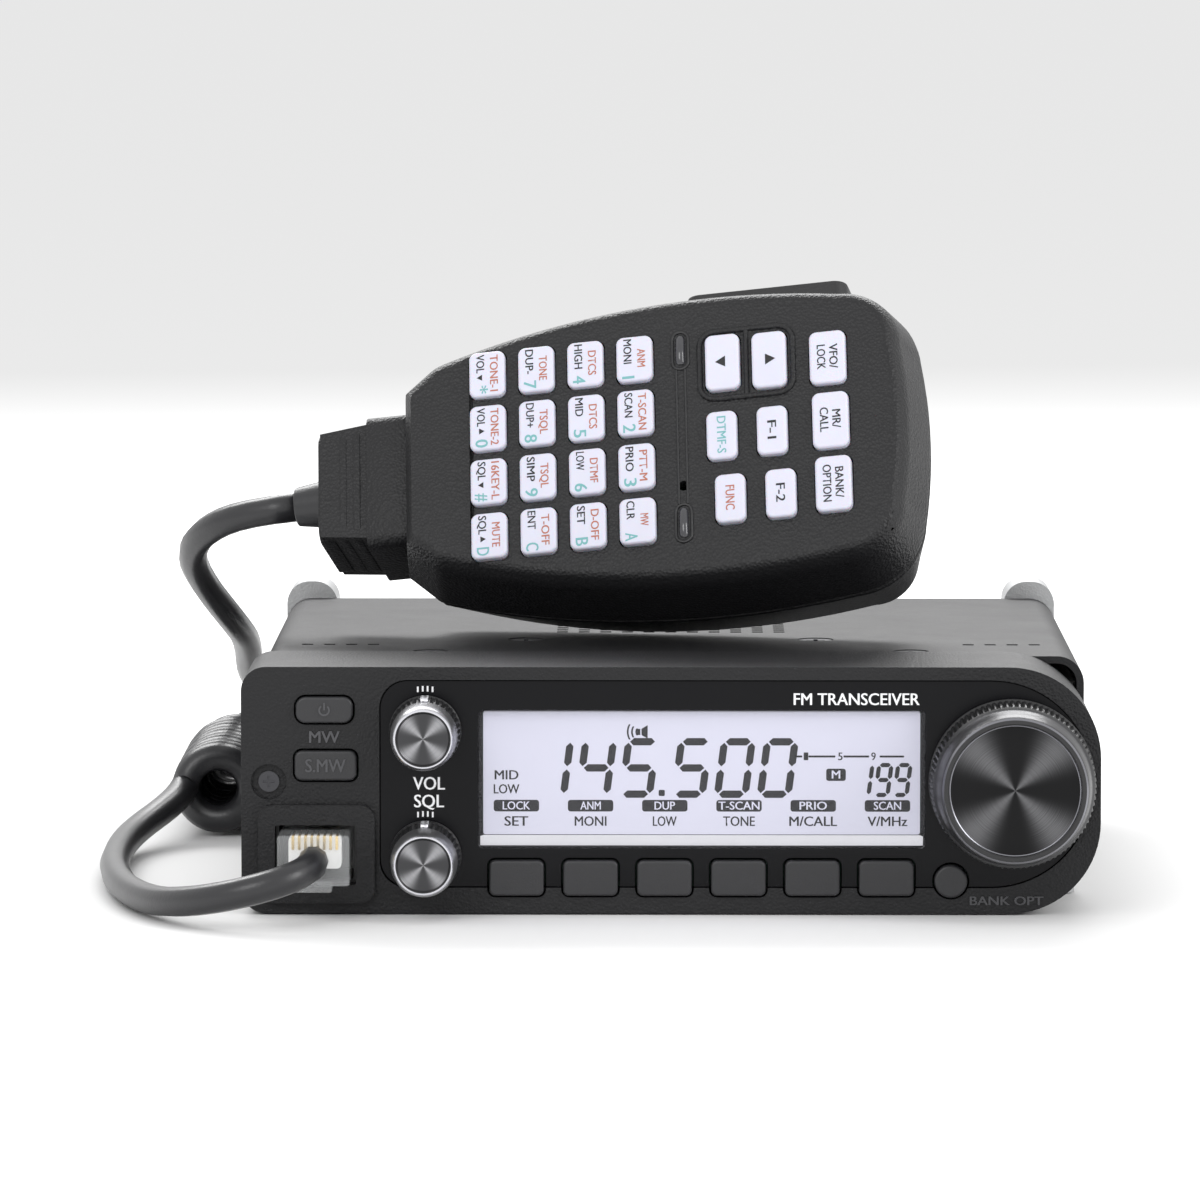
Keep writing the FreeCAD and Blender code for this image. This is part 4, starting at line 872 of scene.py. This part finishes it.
for x, long in ((20.8, 1.2), (24.6, 4.4), (30.2, 4.2), (36, 4)):
    ink_pieces.append(stamped(pill(long, 0.32, 0.12), x, FRONT_Y, 25.6, INK))
for x, mark in ((22, "1"), (27.6, "5"), (33, "9")):
    ink_pieces.append(written(mark, x, FRONT_Y, 25, 1.25, 0.75, INK))
CONE_SHAPE = [(0.1, -0.5), (1.1, -1.1), (1.1, 1.1), (0.1, 0.5)]
COIL_SHAPE = [(-0.6, -0.5), (-0.1, -0.5), (-0.1, 0.5), (-0.6, 0.5)]
ink_pieces += [stamped(shape, -4.9, FRONT_Y, 29.6, INK) for shape in (CONE_SHAPE, COIL_SHAPE)]
for reach in (1.1, 1.8, 2.5):
    arc = [(reach * math.cos(math.radians(a)), reach * math.sin(math.radians(a)))
           for a in range(150, 211, 12)]
    inner = [(x + 0.28, y) for x, y in arc[::-1]]
    ink_pieces.append(stamped(arc + inner, -4.7, FRONT_Y, 29.6, INK))
joined("display_ink", ink_pieces, "radio")
joined("display_labels", pale_pieces, "radio")
low, high = corners("display_glass")
wide = (high.x - low.x) / MM - 0.4
sill = [(-wide / 2, 0), (wide / 2, 0), (wide / 2, 1.5), (wide / 2 - 0.5, 1.7),
        (-wide / 2 + 0.5, 1.7), (-wide / 2, 1.5)]
edge = flat(sill, ((low.x + high.x) / 2, OVER_Y, low.z + 0.2 * MM), RIGHT, UP, SILVER,
            proud=0.12)
joined("display_sill", [edge], "radio")
print("display drawn from", len(ink_pieces) + len(pale_pieces), "pieces of print")

# %% [markdown]
# ## The panel's print
# White ink on the gloss plate names the controls. The words outside the plate are moulded
# in the panel's own plastic, so they are raised. Their colour is a little lighter than the
# panel's, a painted highlight on the raised letters.

# %% Print the face plate
PLATE_Y = corners("face_plate")[0].y
prints = [written("FM TRANSCEIVER", 30.2, PLATE_Y, 34.2, 1.9, 20.5, WHITE),
          written("VOL", -39.4, PLATE_Y, 20.3, 2.05, 5.2, WHITE),
          written("SQL", -39.4, PLATE_Y, 17.4, 2.05, 4.9, WHITE)]


def stroke(high):
    """The outline of one thin upright stroke, its foot at the spot."""
    return [(-0.14, 0), (0.14, 0), (0.14, high), (-0.14, high)]


for node in SMALL_KNOBS:
    knob = middle(node)
    for side in (-1.2, -0.4, 0.4, 1.2):
        foot = (knob.x + side * MM, PLATE_Y, knob.z + (6.5 - abs(side) * 0.12) * MM)
        prints.append(flat(stroke(0.9), foot, RIGHT, UP, WHITE))
joined("face_plate_print", prints, "radio")


# %% Mould the panel's lettering
# The lettering's colour is a painted highlight: the panel's plastic made a little lighter and shinier.
MOULDED_PAINTED_HIGHLIGHT = material("panel_lettering_painted_highlight", (0.05, 0.05, 0.055), 0.3, specular_ior_level=0.6)
RAISED = 0.2
memory_legend = printed("S.MW", (middle("memory_key").x, corners("memory_key")[0].y, 23.3 * MM),
                        RIGHT, UP, 2.1, 6.6, MOULDED_PAINTED_HIGHLIGHT, proud=RAISED)
joined("memory_key_legend", [memory_legend], "memory_key")
ring = [(0.95 * math.cos(math.radians(a)), 0.95 * math.sin(math.radians(a)))
        for a in range(125, 416, 15)]
ring += [(x * 0.7, y * 0.7) for x, y in ring[::-1]]
power = middle("power_key")
power_spot = (power.x, corners("power_key")[0].y, power.z)
symbol = [flat(shape, power_spot, RIGHT, UP, MOULDED_PAINTED_HIGHLIGHT, proud=RAISED)
          for shape in (ring, stroke(1.2))]
joined("power_key_symbol", symbol, "power_key")
PANEL_FRONT = FACE_Y - 0.4 * MM
moulded = [written("MW", -56.4, PANEL_FRONT, 28, 1.9, 5, MOULDED_PAINTED_HIGHLIGHT, proud=RAISED),
           written("BANK OPT", 54.7, PANEL_FRONT, 1.5, 1.4, 12, MOULDED_PAINTED_HIGHLIGHT, proud=RAISED)]
joined("panel_lettering_painted_highlight", moulded, "radio")
print("panel printed")

# %% [markdown]
# ## The microphone's face
# Each key carries its own legend, so the legend moves with the key. Lines of print run
# down the microphone's side, as a hand reads them when it hangs from its cord.

# %% Print the microphone's keys
READ = -MIC_SIDE
LIFT = 14.0
KEY_BOLD = 0.03


def on_key(node, across, above):
    """A spot on a key's top, in mm along its print and up from its middle."""
    spot = middle(node) - MIC_ORIGIN
    u = spot.dot(MIC_LONG) / MM + above
    v = spot.dot(MIC_SIDE) / MM - across
    return on_mic(u, v, LIFT)


def key_print(node, text, across, above, high, wide, ink, align="CENTER"):
    """A line of print on a key, its foot across and above the key's middle in mm."""
    return printed(text, on_key(node, across, above), READ, MIC_LONG, high, wide, ink,
                   align=align, bold=KEY_BOLD)


def arrow(node, across, above, size, turn):
    """A small solid arrow: turn 0 points up the key, 180 points down."""
    points = [(size * math.cos(math.radians(a + turn)), size * math.sin(math.radians(a + turn)))
              for a in (90, 210, 330)]
    return flat(points, on_key(node, across, above), READ, MIC_LONG, INK)


PAD_PRINT = {
    "a": (("TONE-1", "VOL", "*"), ("TONE", "DUP-", "7"), ("DTCS", "HIGH", "4"), ("ANM", "MONI", "1")),
    "b": (("TONE-2", "VOL", "0"), ("TSQL", "DUP+", "8"), ("DTCS", "MID", "5"),
          ("T-SCAN", "SCAN", "2")),
    "c": (("16KEY-L", "SQL", "#"), ("TSQL", "SIMP", "9"), ("DTMF", "LOW", "6"),
          ("PTT-M", "PRIO", "3")),
    "d": (("MUTE", "SQL", "D"), ("T-OFF", "ENT", "C"), ("D-OFF", "SET", "B"), ("MW", "CLR", "A")),
}
ARROWS = {"mic_key_1a": 180, "mic_key_1b": 0, "mic_key_1c": 180, "mic_key_1d": 0}
for row, keys in PAD_PRINT.items():
    for column, (top, low, figure) in enumerate(keys, 1):
        node = f"mic_key_{column}{row}"
        pieces = [
            key_print(node, top, 0, 0.6, 1.35, min(1.12 * len(top), 7), ORANGE),
            key_print(node, low, -3.6, -1.75, 1.35, 1.12 * len(low), INK, "LEFT"),
            key_print(node, figure, 3.65, -2.05, 2.1, 0.45 if figure == "1" else 1.5, TEAL, "RIGHT")]
        if node in ARROWS:
            pieces.append(arrow(node, 0.65, -1.1, 0.62, ARROWS[node]))
        joined("legend_" + node, pieces, node)
SINGLE = {"mic_dtmf_key": ("DTMF-S", TEAL), "mic_function_key": ("FUNC", ORANGE),
          "mic_f1_key": ("F-1", INK), "mic_f2_key": ("F-2", INK)}
for node, (text, ink) in SINGLE.items():
    joined("legend_" + node, [key_print(node, text, 0, -0.7, 1.5, 1.12 * len(text), ink)], node)
DOUBLE = {"mic_vfo_key": ("VFO/", "LOCK"), "mic_call_key": ("MR/", "CALL"),
          "mic_bank_key": ("BANK/", "OPTION")}
for node, (top, low) in DOUBLE.items():
    joined("legend_" + node, [key_print(node, top, 0, 0.4, 1.4, 1.12 * len(top), INK),
                              key_print(node, low, 0, -1.7, 1.4, 1.12 * len(low), INK)], node)
for node, turn in (("mic_down_key", 180), ("mic_up_key", 0)):
    joined("legend_" + node, [arrow(node, 0, 0, 1.15, turn)], node)

# %% [markdown]
# ## Lamps, ridges and the neck
# Two lamps sit at the ends of a groove between the keypads, and the up and down keys share
# a raised rim. All of them are round beads swept along a few points. The neck narrows in
# steps, and each step is a sleeve pushed out of a rounded outline.

# %% Model the lamps and the ridges
def bar(points, radius, name, finish, ring=False):
    """A round bead that follows points given as (u, v, w) on the microphone."""
    made = swept(name, [on_mic(*point) for point in points], radius * MM, ring)
    bpy.ops.object.shade_smooth_by_angle(angle=math.radians(50))
    made.data.materials.append(finish)
    return made


PLATEAU = 13.0
LAMP_U = 63.9


def oval(u, v, half_u, half_v, radius):
    """A rounded rectangle's corner points about u, v."""
    return [(u + x, v + y, PLATEAU) for x, y in pill(2 * half_u, 2 * half_v, radius, 6)]


lamps = []
rims = []
for v in (15.8, -15.8):
    lamps.append(bar([(LAMP_U, v - 2.1, PLATEAU - 0.35), (LAMP_U, v - 1.8, PLATEAU - 0.1),
                      (LAMP_U, v + 1.8, PLATEAU - 0.1), (LAMP_U, v + 2.1, PLATEAU - 0.35)],
                     0.85, "lamp", LAMP_GLASS))
    rims.append(bar(oval(LAMP_U, v, 1.35, 3.4, 1.3), 0.28, "rim", BLACK, ring=True))
for u in (LAMP_U - 0.75, LAMP_U + 0.75):
    rims.append(bar([(u, -12.3, PLATEAU), (u, 12.3, PLATEAU)], 0.22, "rim", BLACK))
joined("mic_lamps", lamps, "microphone")
joined("mic_lamp_rims", rims, "microphone")
low_u = (middle("mic_down_key") - MIC_ORIGIN).dot(MIC_LONG) / MM
high_u = (middle("mic_up_key") - MIC_ORIGIN).dot(MIC_LONG) / MM
mid_v = (middle("mic_up_key") - MIC_ORIGIN).dot(MIC_SIDE) / MM + 0.2
mid_u = (low_u + high_u) / 2
ridge = [bar(oval(mid_u, mid_v, 8, 6.2, 2.6), 0.5, "ridge", MIC, ring=True),
         bar([(mid_u, mid_v - 6, PLATEAU), (mid_u, mid_v + 6, PLATEAU)], 0.45, "ridge", MIC)]
joined("mic_arrow_rim", ridge, "microphone")
print("lamps and rims made")

# %% Step the neck
def collar(start, stop, half, low, high):
    """A rounded sleeve round the neck between two places along it."""
    made = flat(pill(2 * half, high - low, 2.4), on_mic(start, 0, (low + high) / 2), MIC_SIDE,
                MIC_OUT, MIC, proud=stop - start, deep=0)
    only(made)
    edge = made.modifiers.new("edge", "BEVEL")
    edge.width = 0.4 * MM
    edge.segments = 2
    bpy.ops.object.modifier_apply(modifier="edge")
    bpy.ops.object.shade_smooth_by_angle(angle=math.radians(40))
    return made


sleeves = [collar(8.2, 17, 12.1, -9.5, 8.6),
           collar(-0.4, 2.2, 9.9, -8.9, 7.8),
           collar(3.4, 4.6, 10.1, -9.1, 8.1),
           collar(5.8, 7.0, 10.4, -9.2, 8.2)]
joined("mic_neck_sleeves", sleeves, "microphone")
print("neck stepped with", len(sleeves), "sleeves")

# %% [markdown]
# ## The plug
# The plug is clear, so what shows is inside it: a pale block that grips the cord, and
# eight gilt blades in their slots.

# %% Fill the clear plug
BLADES = 8
BLADE_PITCH = 1.02
plug_low, plug_high = corners("microphone_plug")
jack_y = corners("mic_jack")[0].y
plug_x = (plug_low.x + plug_high.x) / 2
plug_z = middle("mic_jack").z
block = flat(pill(8.6, 5.2, 0.7), (plug_x, jack_y, plug_z + 0.6 * MM), RIGHT, UP, CORE,
             proud=6.2, deep=3)
blades = []
for order in range(BLADES):
    spot = (plug_x + (order - 3.5) * BLADE_PITCH * MM, jack_y, plug_z + 2.2 * MM)
    blades.append(flat(pill(0.42, 2.2, 0.1), spot, RIGHT, UP, GOLD, proud=6.5, deep=2))
joined("plug_inside", [block] + blades, "radio")
print("plug filled with", len(blades), "blades")
